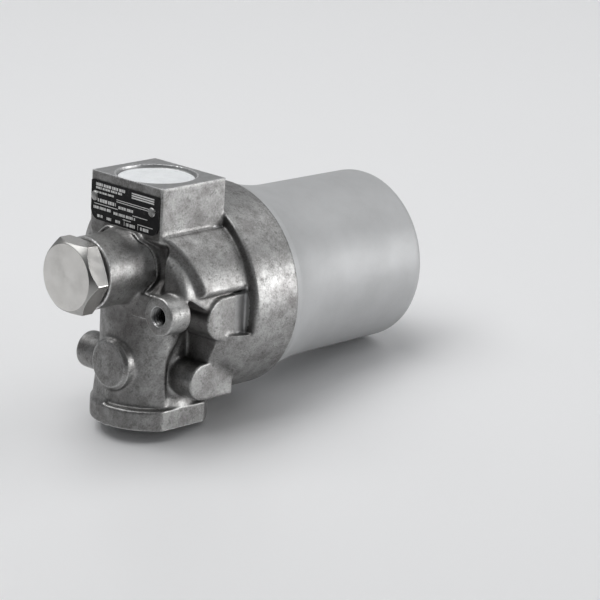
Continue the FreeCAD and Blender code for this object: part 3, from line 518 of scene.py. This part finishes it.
def machinedShare(points):
    # 1 on faces that a tool has cut, 0 on cast skin; distances in millimetres
    x, y, z = (points / mm).T
    skin = headCast["skin"]
    port = np.hypot(x, y)
    bowl = np.hypot(y, z - bowlAxisZ / mm)
    plug = np.hypot(y, z - plugAxisZ / mm)
    tap = np.hypot(np.abs(y) - headCast["tapSpacing"] / 2, z - bowlAxisZ / mm - headCast["tapHeight"])
    ends = (z > inletZ / mm - skin) | (z < skin)
    deep = headCast["portDeep"]
    ways = port < headCast["portRadius"] + headCast["portRim"]
    ways &= ((z < deep) | (z > inletZ / mm - deep)) & (x > plateHigh.x / mm + headCast["frontGap"])
    inner = (port < headCast["passage"]) & (np.abs(y) < headCast["passage"])
    chamber = (bowl < headCast["chamberReach"]) & (x > headCast["chamberFloor"])
    rear = x > collarRearX / mm - skin
    indicator = (plug < headCast["plugBore"]) & (x < headCast["plugBoreEndX"])
    indicator |= x < plugBossX / mm + skin
    tapped = (tap < headCast["tapRadius"] + headCast["tapRim"]) & (x < headCast["tapEndX"] + skin)
    return ends | ways | inner | chamber | rear | indicator | tapped


def plateSeatShare(points):
    # 1 on the flat under the name plate and on the step below it
    x, y, z = (points / mm).T
    edge = headCast["plateEdge"]
    wide = np.abs(y) < plateHigh.y / mm + edge
    return wide & (z > plateLow.z / mm - edge) & (x < plateHigh.x / mm + headCast["skin"])


def padShare(points):
    # 1 on the round pad in front and its step, which stay crisp
    x, y, z = (points / mm).T
    away = np.hypot(y, z - bowlAxisZ / mm + headCast["padBelowAxis"])
    return (away < headCast["padReach"]) & (x < headCast["padFootX"])


def meanAround(edges, size):
    # a function that gives each point the mean of its neighbours' values
    both = np.concatenate([edges, edges[:, ::-1]])
    count = np.maximum(np.bincount(both[:, 0], minlength=size), 1)

    def mean(values):
        columns = values.reshape(size, -1)
        sums = [np.bincount(both[:, 0], column[both[:, 1]], size) for column in columns.T]
        return (np.stack(sums, axis=1) / count[:, None]).reshape(values.shape)
    return mean


def roundedMore(points, edges):
    # p + 0.6 * (mean of neighbours - p), sideways only, along the flange's and the column's
    # upright corners
    mean = meanAround(edges, len(points))
    fade = headCast["cornerFade"]
    x, y, z = (points / mm).T
    share = np.zeros(len(points))
    for cornerX, cornerY, low, high, reach in headCast["roundCorners"]:
        away = np.hypot(x - cornerX, np.abs(y) - cornerY)
        level = smoothStep(z, low, low + fade) * smoothStep(-z, -high, fade - high)
        share = np.maximum(share, smoothStep(-away, -reach, -reach * 0.4) * level)
    flat = points[:, :2].copy()
    for _ in range(headCast["cornerPasses"]):
        flat += 0.6 * share[:, None] * (mean(flat) - flat)
    return np.column_stack([flat, points[:, 2]])


def vertexNormals(points, quads):
    # sum over the faces round a point of the cross product of the face's diagonals
    cross = np.cross(points[quads[:, 2]] - points[quads[:, 0]],
                     points[quads[:, 3]] - points[quads[:, 1]])
    normals = np.zeros_like(points)
    for corner in range(4):
        for k in range(3):
            normals[:, k] += np.bincount(quads[:, corner], cross[:, k], len(points))
    return normals / np.maximum(np.linalg.norm(normals, axis=1)[:, None], 1e-20)


def tapsOpened(points):
    # points of the mounting holes' walls and sinks move out to one radius
    x, y, z = (points / mm).T
    side = np.where(y > 0, 1.0, -1.0) * headCast["tapSpacing"] / 2
    height = bowlAxisZ / mm + headCast["tapHeight"]
    away = np.hypot(y - side, z - height)
    inside = (away < headCast["tapOpening"]) & (x < headCast["tapEndX"] + 1.0)
    grown = np.where(inside, headCast["tapOpening"] / np.maximum(away, 1.0), 1.0)
    return np.stack([x, side + (y - side) * grown, height + (z - height) * grown], axis=1) * mm


def smoothStep(values, low, high):
    # 3 t squared - 2 t cubed, t running from 0 at low to 1 at high
    t = np.clip((values - low) / (high - low), 0, 1)
    return t * t * (3 - 2 * t)


def hollowBeside(points):
    # the wall between the plug's boss and the near shoulder's nose lies back: x grows
    # by the depth times smooth steps over the width, the height and the distance from the boss
    x, y, z = (points / mm).T
    c = headCast
    away = np.hypot(y, z - plugAxisZ / mm)
    share = smoothStep(-y, c["hollowFrom"], c["hollowFull"])
    share = share * smoothStep(y, -c["hollowEnd"], -c["hollowEnd"] + c["hollowEndFade"])
    share = share * smoothStep(z, c["hollowLow"], c["hollowLow"] + c["hollowLowFade"])
    share = share * smoothStep(-z, -c["hollowTop"], -c["hollowTop"] + c["hollowTopFade"])
    share = share * smoothStep(away, *c["hollowOffBoss"]) * smoothStep(-x, *c["hollowAhead"])
    return np.stack([x + c["hollowDepth"] * share, y, z], axis=1) * mm


def blockCorners(low, high):
    # eight corners and six outward faces of a bar
    points = [(x, y, z) for x in (low[0], high[0]) for y in (low[1], high[1])
              for z in (low[2], high[2])]
    faces = ((0, 1, 3, 2), (4, 6, 7, 5), (0, 4, 5, 1), (2, 3, 7, 6), (0, 2, 6, 4), (1, 5, 7, 3))
    return points, faces


def softened(points, quads, edges, free):
    # p + 0.5 * (mean of neighbours - p) on free points; the later passes keep only the part
    # of the step that points outwards
    mean = meanAround(edges, len(points))
    normals = None
    for turn in range(headCast["roundPasses"] + headCast["fillPasses"]):
        step = 0.5 * (mean(points) - points) * free[:, None]
        if turn >= headCast["roundPasses"]:
            if normals is None or turn % 6 == 0:
                normals = vertexNormals(points, quads)
            outward = np.sum(step * normals, axis=1)
            step = normals * np.maximum(outward, 0.0)[:, None]
        points = points + step
    return points


def headPiece():
    mesh = applied(remeshed(cadNodes["head_casting"], headCast["voxel"] * mm), "head")
    points, edges = pointsOf(mesh), edgesOf(mesh)
    quads = np.empty(len(mesh.polygons) * 4, np.int32)
    mesh.polygons.foreach_get("vertices", quads)
    quads = quads.reshape(-1, 4)
    print("head points", len(points))
    free = 1.0 - (machinedShare(points) | plateSeatShare(points))
    free *= 1.0 - headCast["padHold"] * padShare(points)
    points = softened(tapsOpened(hollowBeside(points)), quads, edges, free)
    points = roundedMore(points, edges)
    mesh.vertices.foreach_set("co", points.astype(np.float32).ravel())
    mesh.update()
    rough = placed("headRough", mesh)
    modifier = rough.modifiers.new("thin", "DECIMATE")
    modifier.ratio = min(1.0, headCast["triangles"] / (2.0 * len(quads)))
    mesh = applied(rough, "head_cast")
    splitLong(mesh)
    print("head triangles", len(mesh.polygons))
    piece = placed("head_cast", mesh)
    smoothShading(piece, headCast["sharpAngle"])
    paintSky(mesh)
    # wear and painted highlight: edges that stand out are lightened
    keepOnPoints(mesh, "wearAndHighlight", carriedOver(wearAndHighlightOf(points, quads, edges), points, mesh))
    return piece


def pointsOf(mesh):
    points = np.empty(len(mesh.vertices) * 3, np.float32)
    mesh.vertices.foreach_get("co", points)
    return points.reshape(-1, 3).astype(float)


def edgesOf(mesh):
    edges = np.empty(len(mesh.edges) * 2, np.int32)
    mesh.edges.foreach_get("vertices", edges)
    return edges.reshape(-1, 2)


def keepOnPoints(mesh, name, values):
    layer = mesh.attributes.new(name, "FLOAT", "POINT")
    layer.data.foreach_set("value", values.astype(np.float32))


def wearAndHighlightOf(points, quads, edges):
    # height of a point over the mean of its surroundings, in millimetres: edges stand out
    mean = meanAround(edges, len(points))
    level = points
    for _ in range(headCast["wearAndHighlightPasses"]):
        level = 0.4 * level + 0.6 * mean(level)
    return np.sum((points - level) * vertexNormals(points, quads), axis=1) / mm


def carriedOver(values, points, mesh):
    # each point of the thinned mesh takes the value of the nearest point of the dense one
    tree = KDTree(len(points))
    for k, point in enumerate(points):
        tree.insert(point, k)
    tree.balance()
    nearest = np.array([tree.find(vertex.co)[1] for vertex in mesh.vertices])
    return values[nearest]


def splitLong(mesh):
    # edges over the given length are halved a few times, so that flats keep enough points
    work = bmesh.new()
    work.from_mesh(mesh)
    for _ in range(3):
        long = [edge for edge in work.edges if edge.calc_length() > headCast["longEdge"] * mm]
        if not long:
            break
        bmesh.ops.subdivide_edges(work, edges=long, cuts=1)
        bmesh.ops.triangulate(work, faces=[f for f in work.faces if len(f.verts) > 3])
    work.to_mesh(mesh)
    work.free()


# painted shade: where this share is low, the head's finishes are darkened
def paintSky(mesh):
    # share of rays over a point's outer side that meet nothing within reach; the rays follow
    # a spiral: distance from the normal = root((k + 0.5) / count), turn = golden angle * k
    tree = BVHTree.FromPolygons([v.co for v in mesh.vertices], [p.vertices for p in mesh.polygons])
    count, reach = headCast["skyRays"], headCast["skyReach"] * mm
    spiral = []
    for k in range(count):
        out = math.sqrt((k + 0.5) / count)
        turn = k * math.pi * (3 - math.sqrt(5))
        spiral.append((out * math.cos(turn), out * math.sin(turn), math.sqrt(1 - out * out)))
    sky = np.zeros(len(mesh.vertices))
    for vertex in mesh.vertices:
        normal = vertex.normal
        side = normal.orthogonal().normalized()
        up = normal.cross(side)
        start = vertex.co + normal * headCast["skyLift"] * mm
        hits = 0
        for a, b, c in spiral:
            if tree.ray_cast(start, side * a + up * b + normal * c, reach)[0] is not None:
                hits += 1
        sky[vertex.index] = 1 - hits / count
    mean = meanAround(edgesOf(mesh), len(sky))
    for _ in range(headCast["skyPasses"]):
        sky = 0.5 * sky + 0.5 * mean(sky)
    # painted shade: the skin that faces the front is made darker than the sides, as in the photo
    normals = np.array([vertex.normal.x for vertex in mesh.vertices])
    sky *= 1 - headCast["frontDark"] * smoothStep(-normals, *headCast["frontLean"])
    # small pits on the collar, drawn as dark spots only, and painted shade in the corner under the
    # plug's boss
    for *centre, radius in headCast["pitsAndCornerShade"]:
        away = np.linalg.norm(pointsOf(mesh) / mm - np.array(centre), axis=1)
        sky *= np.clip(away / radius, 0.1, 1.0)
    keepOnPoints(mesh, "sky", sky)


def faceValues(piece, name):
    values = np.empty(len(piece.data.polygons) * 3, np.float32)
    piece.data.polygons.foreach_get(name, values)
    return values.reshape(-1, 3)


def paintSecond(piece, material, share):
    # faces picked by share take a second finish
    piece.data.materials.append(material)
    piece.data.polygons.foreach_set("material_index", share.astype(np.int32))


print("remeshing the head")
head = onto(headPiece(), "head", "cast_aluminium", finishes["castMetal"], "head_casting")
paintSecond(head, finishes["machinedMetal"], machinedShare(faceValues(head, "center").astype(float)))


# Threads cut in the head: thin sleeves whose inner side carries the thread's ridges

tapLiner = {"axis": "x", "low": -23.7, "high": -12.6, "wall": 4.1, "pitch": 1.25, "depth": 0.6,
            "reach": 2.2, "columns": 64}
threadLiners = {            # reach: the depth at which the light has fallen to a third
    "tap_thread_near": {"centre": (0, -headCast["tapSpacing"] / 2, "mount"), **tapLiner},
    "tap_thread_far": {"centre": (0, headCast["tapSpacing"] / 2, "mount"), **tapLiner},
    "outlet_thread": {"centre": (0, 0, 0), "axis": "z", "low": 3.4, "high": 19.0,
                      "wall": 15.15, "pitch": 2.31, "depth": 0.7, "reach": 20.0, "columns": 128},
    "collar_thread": {"centre": (0, 0, "bowl"), "axis": "x", "low": 31.6, "high": 42.6,
                      "wall": 39.0, "pitch": 2.0, "depth": 0.75, "reach": 40.0,
                      "openAtHigh": True, "columns": 288},
    "indicator_thread": {"centre": (0, 0, "plug"), "axis": "x", "low": -37.6, "high": -23.6,
                         "wall": 10.0, "pitch": 1.5, "depth": 0.5, "reach": 20.0, "columns": 128},
}
axisHeights = {"bowl": bowlAxisZ, "plug": plugAxisZ,
               "mount": bowlAxisZ + headCast["tapHeight"] * mm}


def threadLiner(name, t):
    # inner radius = wall - depth * (1 - wave), faded at both ends; the outer side is plain
    # and lies 0.4 mm deep in the metal
    x, y, z = t["centre"]
    centre = (x * mm, y * mm, axisHeights.get(z, 0.0))
    steps = int((t["high"] - t["low"]) / t["pitch"] * 10)
    along = np.linspace(t["low"], t["high"], steps)
    inner = np.stack([along, np.full(steps, t["wall"])], axis=1)
    outer = np.stack([along[::-1], np.full(steps, t["wall"] + 0.4)], axis=1)[::10]
    low, high, pitch = (t[key] * mm for key in ("low", "high", "pitch"))
    wall = (t["wall"] + 0.1) * mm

    def swell(place, turn, radius):
        fade = np.clip((place - low) / pitch, 0, 1) * np.clip((high - place) / pitch, 0, 1)
        ridge = t["depth"] * mm * (1 - threadWave(place, turn, pitch)) * fade
        return np.where(radius < wall, 0.02 * mm - ridge, 0.0)

    grid = around(np.concatenate([inner, outer]) * mm, centre, t["axis"], t["columns"], swell)
    piece = meshFromGrid(name, grid, True)
    smoothShading(piece, 40)
    # light falls off with the depth from the open end: exp(-depth / reach)
    along = pointsOf(piece.data)[:, "xyz".index(t["axis"])] / mm
    depth = t["high"] - along if t.get("openAtHigh") else along - t["low"]
    keepOnPoints(piece.data, "sky", np.exp(-depth / t["reach"]))
    return piece


print("cutting the head's threads")
for linerName, liner in threadLiners.items():
    onto(threadLiner(linerName, liner), "head", "cast_aluminium", finishes["threadMetal"])


# Bowl: flared mouth, slim waist, rounded end with a spanner hexagon, thread on its neck

bowlShape = {
    "mouth": 43.1, "waist": 38.5, "end": 38.05, "rimX": 44.7, "lip": 3.0, "waistX": 75.9,
    "endX": 131.2, "edge": 4.8, "hexFlats": 32.0, "hexHeight": 8.0, "hexEdge": 0.8,
    "inner": 33.0, "floorX": 123.2, "noseX": 22.4, "nose": 36.2, "thread": 38.7,
    "threadStart": 33.2, "pitch": 2.0, "depth": 1.1, "flarePower": 1.89,
    "grooveX": 25.0, "grooveWidth": 4.6, "grooveFloor": 34.0, "columns": 288,
}


def hexRadius(turn, flats, start=0.0):
    # distance from the middle to the side of a hexagon: half flats / cos(angle off the flat)
    return flats / 2 / np.cos((turn - start) % (math.pi / 3) - math.pi / 6)


def bowlPiece():
    b = bowlShape
    share = np.linspace(0, 1, 26)[1:]
    flareX = b["rimX"] + b["lip"] + share * (b["waistX"] - b["rimX"] - b["lip"])
    flareR = b["waist"] + (b["mouth"] - b["waist"]) * (1 - share) ** b["flarePower"]
    flare = [(x, r) for x, r in zip(flareX, flareR)]
    hexR = b["hexFlats"] / 2
    corners = [(b["floorX"], 0), (b["floorX"], b["inner"], 6.0), (b["noseX"], b["inner"], 0.5),
               (b["noseX"], b["nose"], 0.9), (b["grooveX"], b["nose"], 0.15),
               (b["grooveX"], b["grooveFloor"], 0.3),
               (b["grooveX"] + b["grooveWidth"], b["grooveFloor"], 0.3),
               (b["grooveX"] + b["grooveWidth"], b["nose"], 0.15),
               (b["threadStart"] - 1.6, b["nose"], 0.3), (b["threadStart"], b["thread"]),
               (b["rimX"], b["thread"], 0.2), (b["rimX"], b["mouth"], 0.5),
               (b["rimX"] + b["lip"], b["mouth"])]
    corners += flare
    corners += [(b["endX"], b["end"], b["edge"]), (b["endX"], hexR, 0.6),
                (b["endX"] + b["hexHeight"], hexR, b["hexEdge"]),
                (b["endX"] + b["hexHeight"], 0)]
    profile = roundedProfile(corners, 6) * mm
    profile = denser(profile, b["threadStart"] * mm, b["rimX"] * mm, b["pitch"] * mm / 8)
    thread = threadSwell((b["threadStart"] + 0.2) * mm, (b["rimX"] - 0.6) * mm, b["pitch"] * mm,
                         -b["depth"] * mm, b["thread"] * mm)
    low = (b["endX"] - 0.7) * mm

    def swell(along, turn, radius):
        onHex = (along > low) & (radius < (hexR + 2.0) * mm)
        grown = radius * (hexRadius(turn, b["hexFlats"]) / hexR - 1)
        return thread(along, turn, radius) + np.where(onHex, grown, 0.0)

    grid = around(profile, (0, 0, bowlAxisZ), "x", b["columns"], swell)
    piece = meshFromGrid("bowl_shell", grid)
    smoothShading(piece, 30)
    return piece


print("turning the bowl")
onto(bowlPiece(), "bowl", "bowl_aluminium", finishes["bowlMetal"], "bowl")


# Blanking plug: chamfered hexagon, short thread behind it

plugShape = {
    "flats": 30.0, "turn": 3.6, "head": 9.3, "chamferRadius": 14.3, "chamferAngle": 45.0,
    "rearShare": 0.3,
    "relief": 8.8, "shank": 9.7, "boreRadius": 6.0, "boreDepth": 14.0, "pitch": 1.5,
    "depth": 0.85, "columns": 360, "edge": 0.18,
}


def plugPiece():
    # rows run from the face's middle over the chamfer and the flats to the thread; on the
    # chamfer rows, along = face + (side - chamfer radius) * tan(chamfer angle)
    p = plugShape
    turn = np.linspace(0, 2 * math.pi, p["columns"], endpoint=False)
    side = hexRadius(turn, p["flats"], math.radians(p["turn"]))
    faceX = plugLow.x / mm
    backX = faceX + p["head"]
    endX = plugHigh.x / mm
    slope = math.tan(math.radians(p["chamferAngle"]))
    lift = (side - p["chamferRadius"]) * slope
    flat = np.ones_like(turn)
    rows = [(faceX * flat, 0 * flat), (faceX * flat, 0.5 * p["chamferRadius"] * flat),
            (faceX * flat, p["chamferRadius"] * flat), (faceX + lift, side),
            (backX - lift * p["rearShare"], side), (backX * flat, p["chamferRadius"] * flat),
            (backX * flat, p["relief"] * flat), (backX + 2.2 * flat, p["relief"] * flat),
            (backX + 3.1 * flat, p["shank"] * flat)]
    threadStart, threadEnd = backX + 3.1, endX - 0.9
    steps = int((threadEnd - threadStart) / p["pitch"] * 8)
    for x in np.linspace(threadStart, threadEnd, steps)[1:]:
        fade = min(1.0, x - threadStart, 2 * (threadEnd - x))
        rows.append((x * flat, p["shank"] - p["depth"] * threadWave(x, turn, p["pitch"]) * fade))
    rows += [(endX * flat, p["relief"] * flat), (endX * flat, p["boreRadius"] * flat),
             ((endX - p["boreDepth"]) * flat, p["boreRadius"] * flat),
             ((endX - p["boreDepth"]) * flat, 0 * flat)]
    along = np.stack([row[0] for row in rows]) * mm
    radius = np.stack([row[1] for row in rows]) * mm
    grid = np.stack([along, radius * np.cos(turn), plugAxisZ + radius * np.sin(turn)], axis=-1)
    piece = meshFromGrid("plug_turned", grid)
    edge = piece.modifiers.new("edge", "BEVEL")
    edge.width = p["edge"] * mm
    edge.segments = 2
    edge.limit_method = "ANGLE"
    edge.angle_limit = math.radians(20)
    smoothShading(piece, 25)
    return piece


plug = onto(plugPiece(), "plug", "turned_steel", turnedMetal, "blanking_plug")


# painted shade: the chamfer, between the round face and the flats, takes a darker finish; its normals
# lean to the front by more than the flats' and less than the face's
plugLean = -faceValues(plug, "normal")[:, 0]
paintSecond(plug, finishes["chamferPaintedShade"], (plugLean > 0.4) & (plugLean < 0.9))


# Camera: one perspective view fitted to the photograph's straight edges and circles

cameraPlace = {
    "location": (-907.4, -959.5, 424.6), "yaw": 43.85, "pitch": 15.68, "roll": 2.80,
    "lens": 192.02, "sensor": 36.0,
}


def addCamera():
    # forward = (cos yaw cos pitch, sin yaw cos pitch, -sin pitch) with yaw turned so that
    # the view's right is (sin yaw, -cos yaw, 0); the roll turns right and up about forward
    yaw, pitch, roll = (math.radians(cameraPlace[k]) for k in ("yaw", "pitch", "roll"))
    forward = Vector((math.cos(yaw) * math.cos(pitch), math.sin(yaw) * math.cos(pitch),
                      -math.sin(pitch)))
    right = Vector((math.sin(yaw), -math.cos(yaw), 0))
    up = right.cross(forward)
    rolledRight = right * math.cos(roll) + up * math.sin(roll)
    rolledUp = up * math.cos(roll) - right * math.sin(roll)
    data = bpy.data.cameras.new("camera")
    data.lens = cameraPlace["lens"]
    data.sensor_width = cameraPlace["sensor"]
    data.clip_start = 0.05
    data.clip_end = 20
    camera = placed("camera", data)
    turn = Matrix((rolledRight, rolledUp, -forward)).transposed().to_4x4()
    camera.matrix_world = Matrix.Translation(Vector(cameraPlace["location"]) * mm) @ turn
    bpy.context.scene.camera = camera


# Cap, plate and pins

capShape = {"rim": 16.5, "body": 14.85, "wall": 1.4, "dish": 0.35}


def capPiece():
    c = capShape
    top, low = capHigh.z / mm, capLow.z / mm
    corners = [(top - c["dish"], 0), (top - c["dish"], c["rim"] - 2.2, 0.6),
               (top, c["rim"] - 1.2, 0.3), (top, c["rim"], 0.35), (top - 0.9, c["rim"], 0.2),
               (top - 1.9, c["body"], 0.3), (low, c["body"] - 0.4, 0.3),
               (low, c["body"] - c["wall"], 0.3), (top - 1.9, c["body"] - c["wall"], 0.5),
               (top - 1.9, 0)]
    piece = turnedPiece("cap_moulded", corners, (0, 0, 0), "z", 160)
    smoothShading(piece, 35)
    return piece


print("moulding the cap, the plate and its pins")
onto(capPiece(), "cap", "cap_plastic", capPlastic, "inlet_cap")

pinShape = {"radius": 2.1, "height": 0.8, "shank": 1.0}


def pinPiece(name, node):
    # domed head: height * (1 - (r / radius) squared) to the power 0.7, then the plain shank
    low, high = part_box(node)
    centre = (0.0, (low.y + high.y) / 2, (low.z + high.z) / 2)
    seat = low.x / mm + pinShape["height"]
    share = np.linspace(0, 1, 9)
    dome = [(seat - pinShape["height"] * (1 - s * s) ** 0.7, s * pinShape["radius"]) for s in share]
    corners = dome + [(seat, pinShape["shank"]), (high.x / mm, pinShape["shank"] * 0.7),
                      (high.x / mm, 0)]
    profile = np.array(corners) * mm
    piece = meshFromGrid(name, around(profile, centre, "x", 48))
    smoothShading(piece, 35)
    return piece


for pinName in ("plate_pin_far", "plate_pin_near"):
    onto(pinPiece(pinName + "_domed", pinName), "head", "pin_aluminium", finishes["pinMetal"],
         pinName)


# Print on the name plate: bare fields, rules and rows of short dashes, no letters

platePrint = {
    "proud": 0.03,
    "lines": [          # (left, top, right, height) as shares of the plate; left is its far end
        (0.07, 0.055, 0.50, 0.075), (0.07, 0.155, 0.46, 0.055), (0.05, 0.27, 0.34, 0.05),
        (0.10, 0.45, 0.37, 0.085), (0.41, 0.50, 0.63, 0.07), (0.04, 0.655, 0.30, 0.07),
        (0.34, 0.68, 0.66, 0.07), (0.10, 0.86, 0.18, 0.07), (0.24, 0.87, 0.31, 0.07),
        (0.37, 0.87, 0.45, 0.07), (0.53, 0.87, 0.66, 0.08), (0.74, 0.87, 0.86, 0.08),
    ],
    "rules": [          # (left, top, right, height)
        (0.38, 0.345, 0.95, 0.018), (0.38, 0.395, 0.95, 0.018), (0.05, 0.585, 0.40, 0.018),
        (0.62, 0.63, 0.84, 0.018), (0.70, 0.81, 0.92, 0.018), (0.48, 0.80, 0.60, 0.018),
        (0.70, 0.84, 0.706, 0.12), (0.50, 0.84, 0.506, 0.12),
    ],
    "fields": [(0.60, 0.06, 0.93, 0.17)],
}


def printRows():
    # every line is broken into dashes 0.4 to 1.5 mm wide, by a fixed rule
    boxes = []
    width = (plateHigh.y - plateLow.y) / mm
    for row, (left, top, right, height) in enumerate(platePrint["lines"]):
        start = left
        k = row
        while start < right:
            dash = (0.42 + 0.26 * ((k * 7) % 5)) / width
            boxes.append((start, top, min(start + dash, right), height))
            start += dash + (0.62 if k % 4 == 3 else 0.2) / width
            k += 1
    for left, top, right, height in platePrint["fields"]:
        for k in range(3):
            band = height / 3
            boxes.append((left, top + k * band, right, band * 0.62))
    return boxes + list(platePrint["rules"])


def printPiece():
    # a thin bar, half sunk in the plate, for every box of the print
    proud = platePrint["proud"] * mm
    tall = plateHigh.z - plateLow.z
    wide = plateHigh.y - plateLow.y
    points, quads = [], []
    for left, top, right, height in printRows():
        bottom = plateHigh.z - (top + height) * tall
        corners, faces = blockCorners((plateLow.x - proud, plateHigh.y - right * wide, bottom),
                                      (plateLow.x + proud, plateHigh.y - left * wide,
                                       plateHigh.z - top * tall))
        quads += [[len(points) + k for k in face] for face in faces]
        points += corners
    return meshFromArrays("plate_print", np.array(points), np.array(quads))


onto(printPiece(), "head", "pin_aluminium", finishes["plateInk"])


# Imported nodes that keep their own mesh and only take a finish

plainFinishes = {
    "platePaint": ["name_plate"],
    "sealRubber": ["plug_seal_ring", "bowl_seal_ring", "element_seal_ring"],
    "backupPlastic": ["bowl_backup_ring"],
    "spigotMetal": ["element_spigot"],
    "valveBrass": ["bypass_valve_body", "bypass_poppet"],
    "springSteel": ["bypass_spring"],
    "zincSheet": ["bypass_spring_seat", "element_front_cap", "element_rear_cap",
                  "element_core_tube"],
    "mediaFleece": ["element_pleats"],
    "supportPlastic": ["element_outer_tube"],
}

print("finishing the inner pieces")
for finish, nodeNames in plainFinishes.items():
    for nodeName in nodeNames:
        cadNodes[nodeName].data.materials.clear()
        cadNodes[nodeName].data.materials.append(finishes[finish])


# Floor, backdrop and light

studio = {
    "tilt": 8.1,            # bowl end hangs down by this angle when the housing lies
    "contactX": 25.3,       # rear edge of the flange, which touches the floor
    "floorColour": (0.86, 0.86, 0.865), "floorRough": 0.34,
    "sheetFront": 4.0, "sheetRun": 1.6, "sheetBend": 1.2, "sheetHeight": 4.0, "sheetHalf": 6.0,
    "feltColour": (0.02, 0.02, 0.02), "feltRough": 0.9,
    "cardRadius": 0.36, "cardHeights": (0.03, 0.28), "cardTurn": (178.0, 255.0), "cardSteps": 24,
    "world": (0.78, 0.80, 0.82), "worldStrength": 0.3,
    "target": (0.03, 0.0, 0.05),
}
lamps = {                   # place, size and watts
    "keyRight": ((1.3, -1.65, 0.33), (1.5, 0.45), 18.5),
    "topSoft": ((-0.45, 0.4, 1.7), (1.5, 1.5), 23.0),
    "backTop": ((-0.7, 1.7, 1.8), (0.8, 0.8), 2.5),
    "sideSoft": ((1.2, -0.6, 1.7), (1.6, 1.0), 6.5),
}


def floorPlane():
    # a point of the floor and the floor's normal, turned about Y by the tilt
    tilt = math.radians(studio["tilt"])
    return Vector((studio["contactX"] * mm, 0, 0)), Vector((-math.sin(tilt), 0, math.cos(tilt)))


def stageFinish(name, colour, rough):
    material, _, shader, _ = newMaterial(name)
    shader.inputs["Base Color"].default_value = (*colour, 1)
    shader.inputs["Roughness"].default_value = rough
    return material


def addFloor():
    # one sheet: flat under the housing, then swept up behind it along a quarter circle
    contact, normal = floorPlane()
    yaw = math.radians(cameraPlace["yaw"])
    back = Vector((math.cos(yaw), math.sin(yaw), 0))
    back = (back - normal * back.dot(normal)).normalized()
    side = normal.cross(back)
    bend, run = studio["sheetBend"], studio["sheetRun"]
    turn = np.linspace(0, math.pi / 2, 16)
    out = np.concatenate([[-studio["sheetFront"]], run + bend * np.sin(turn), [run + bend]])
    lift = np.concatenate([[0.0], bend * (1 - np.cos(turn)), [studio["sheetHeight"]]])
    across = np.array([-studio["sheetHalf"], studio["sheetHalf"]])
    grid = (np.array(contact) + out[:, None, None] * np.array(back)
            + lift[:, None, None] * np.array(normal) + across[None, :, None] * np.array(side))
    rows = len(out)
    quads = np.array([[2 * i, 2 * i + 1, 2 * i + 3, 2 * i + 2] for i in range(rows - 1)])
    sheet = meshFromArrays("floor_sheet", grid.reshape(-1, 3), quads)
    smoothFaces(sheet.data)
    sheet.data.materials.append(stageFinish("paperSweep", studio["floorColour"],
                                            studio["floorRough"]))


def addDarkCard():
    # low dark screen in an arc round the camera's side, never seen itself: the metal faces
    # that look that way reflect it, as they reflect the dark room in front of a lit table
    normal = floorPlane()[1]
    count = studio["cardSteps"]
    low, high = (np.array(normal) * height for height in studio["cardHeights"])
    turn = np.radians(np.linspace(*studio["cardTurn"], count))
    foot = np.stack([np.cos(turn), np.sin(turn), 0 * turn], axis=1) * studio["cardRadius"]
    foot[:, 2] = -foot[:, 0] * normal.x / normal.z
    points = np.concatenate([foot + low, foot + high])
    quads = np.array([[k, k + 1, k + count + 1, k + count] for k in range(count - 1)])
    card = meshFromArrays("dark_card", points, quads)
    card.data.materials.append(stageFinish("blackFelt", studio["feltColour"],
                                           studio["feltRough"]))
    card.visible_camera = False


def addLight(name, place, size, power):
    data = bpy.data.lights.new(name, "AREA")
    data.shape = "RECTANGLE"
    data.size, data.size_y = size
    data.energy = power
    light = placed(name, data)
    towards = Vector(studio["target"]) - Vector(place)
    turn = towards.to_track_quat("-Z", "Y").to_matrix().to_4x4()
    light.matrix_world = Matrix.Translation(Vector(place)) @ turn


def addWorld():
    world = bpy.data.worlds.new("studio")
    bpy.context.scene.world = world
    world.use_nodes = True
    background = world.node_tree.nodes["Background"]
    background.inputs["Color"].default_value = (*studio["world"], 1)
    background.inputs["Strength"].default_value = studio["worldStrength"]


print("setting the studio")
addCamera()
addFloor()
addDarkCard()
addWorld()
for lampName, lamp in lamps.items():
    addLight(lampName, *lamp)

bpy.context.scene.view_settings.view_transform = "Standard"
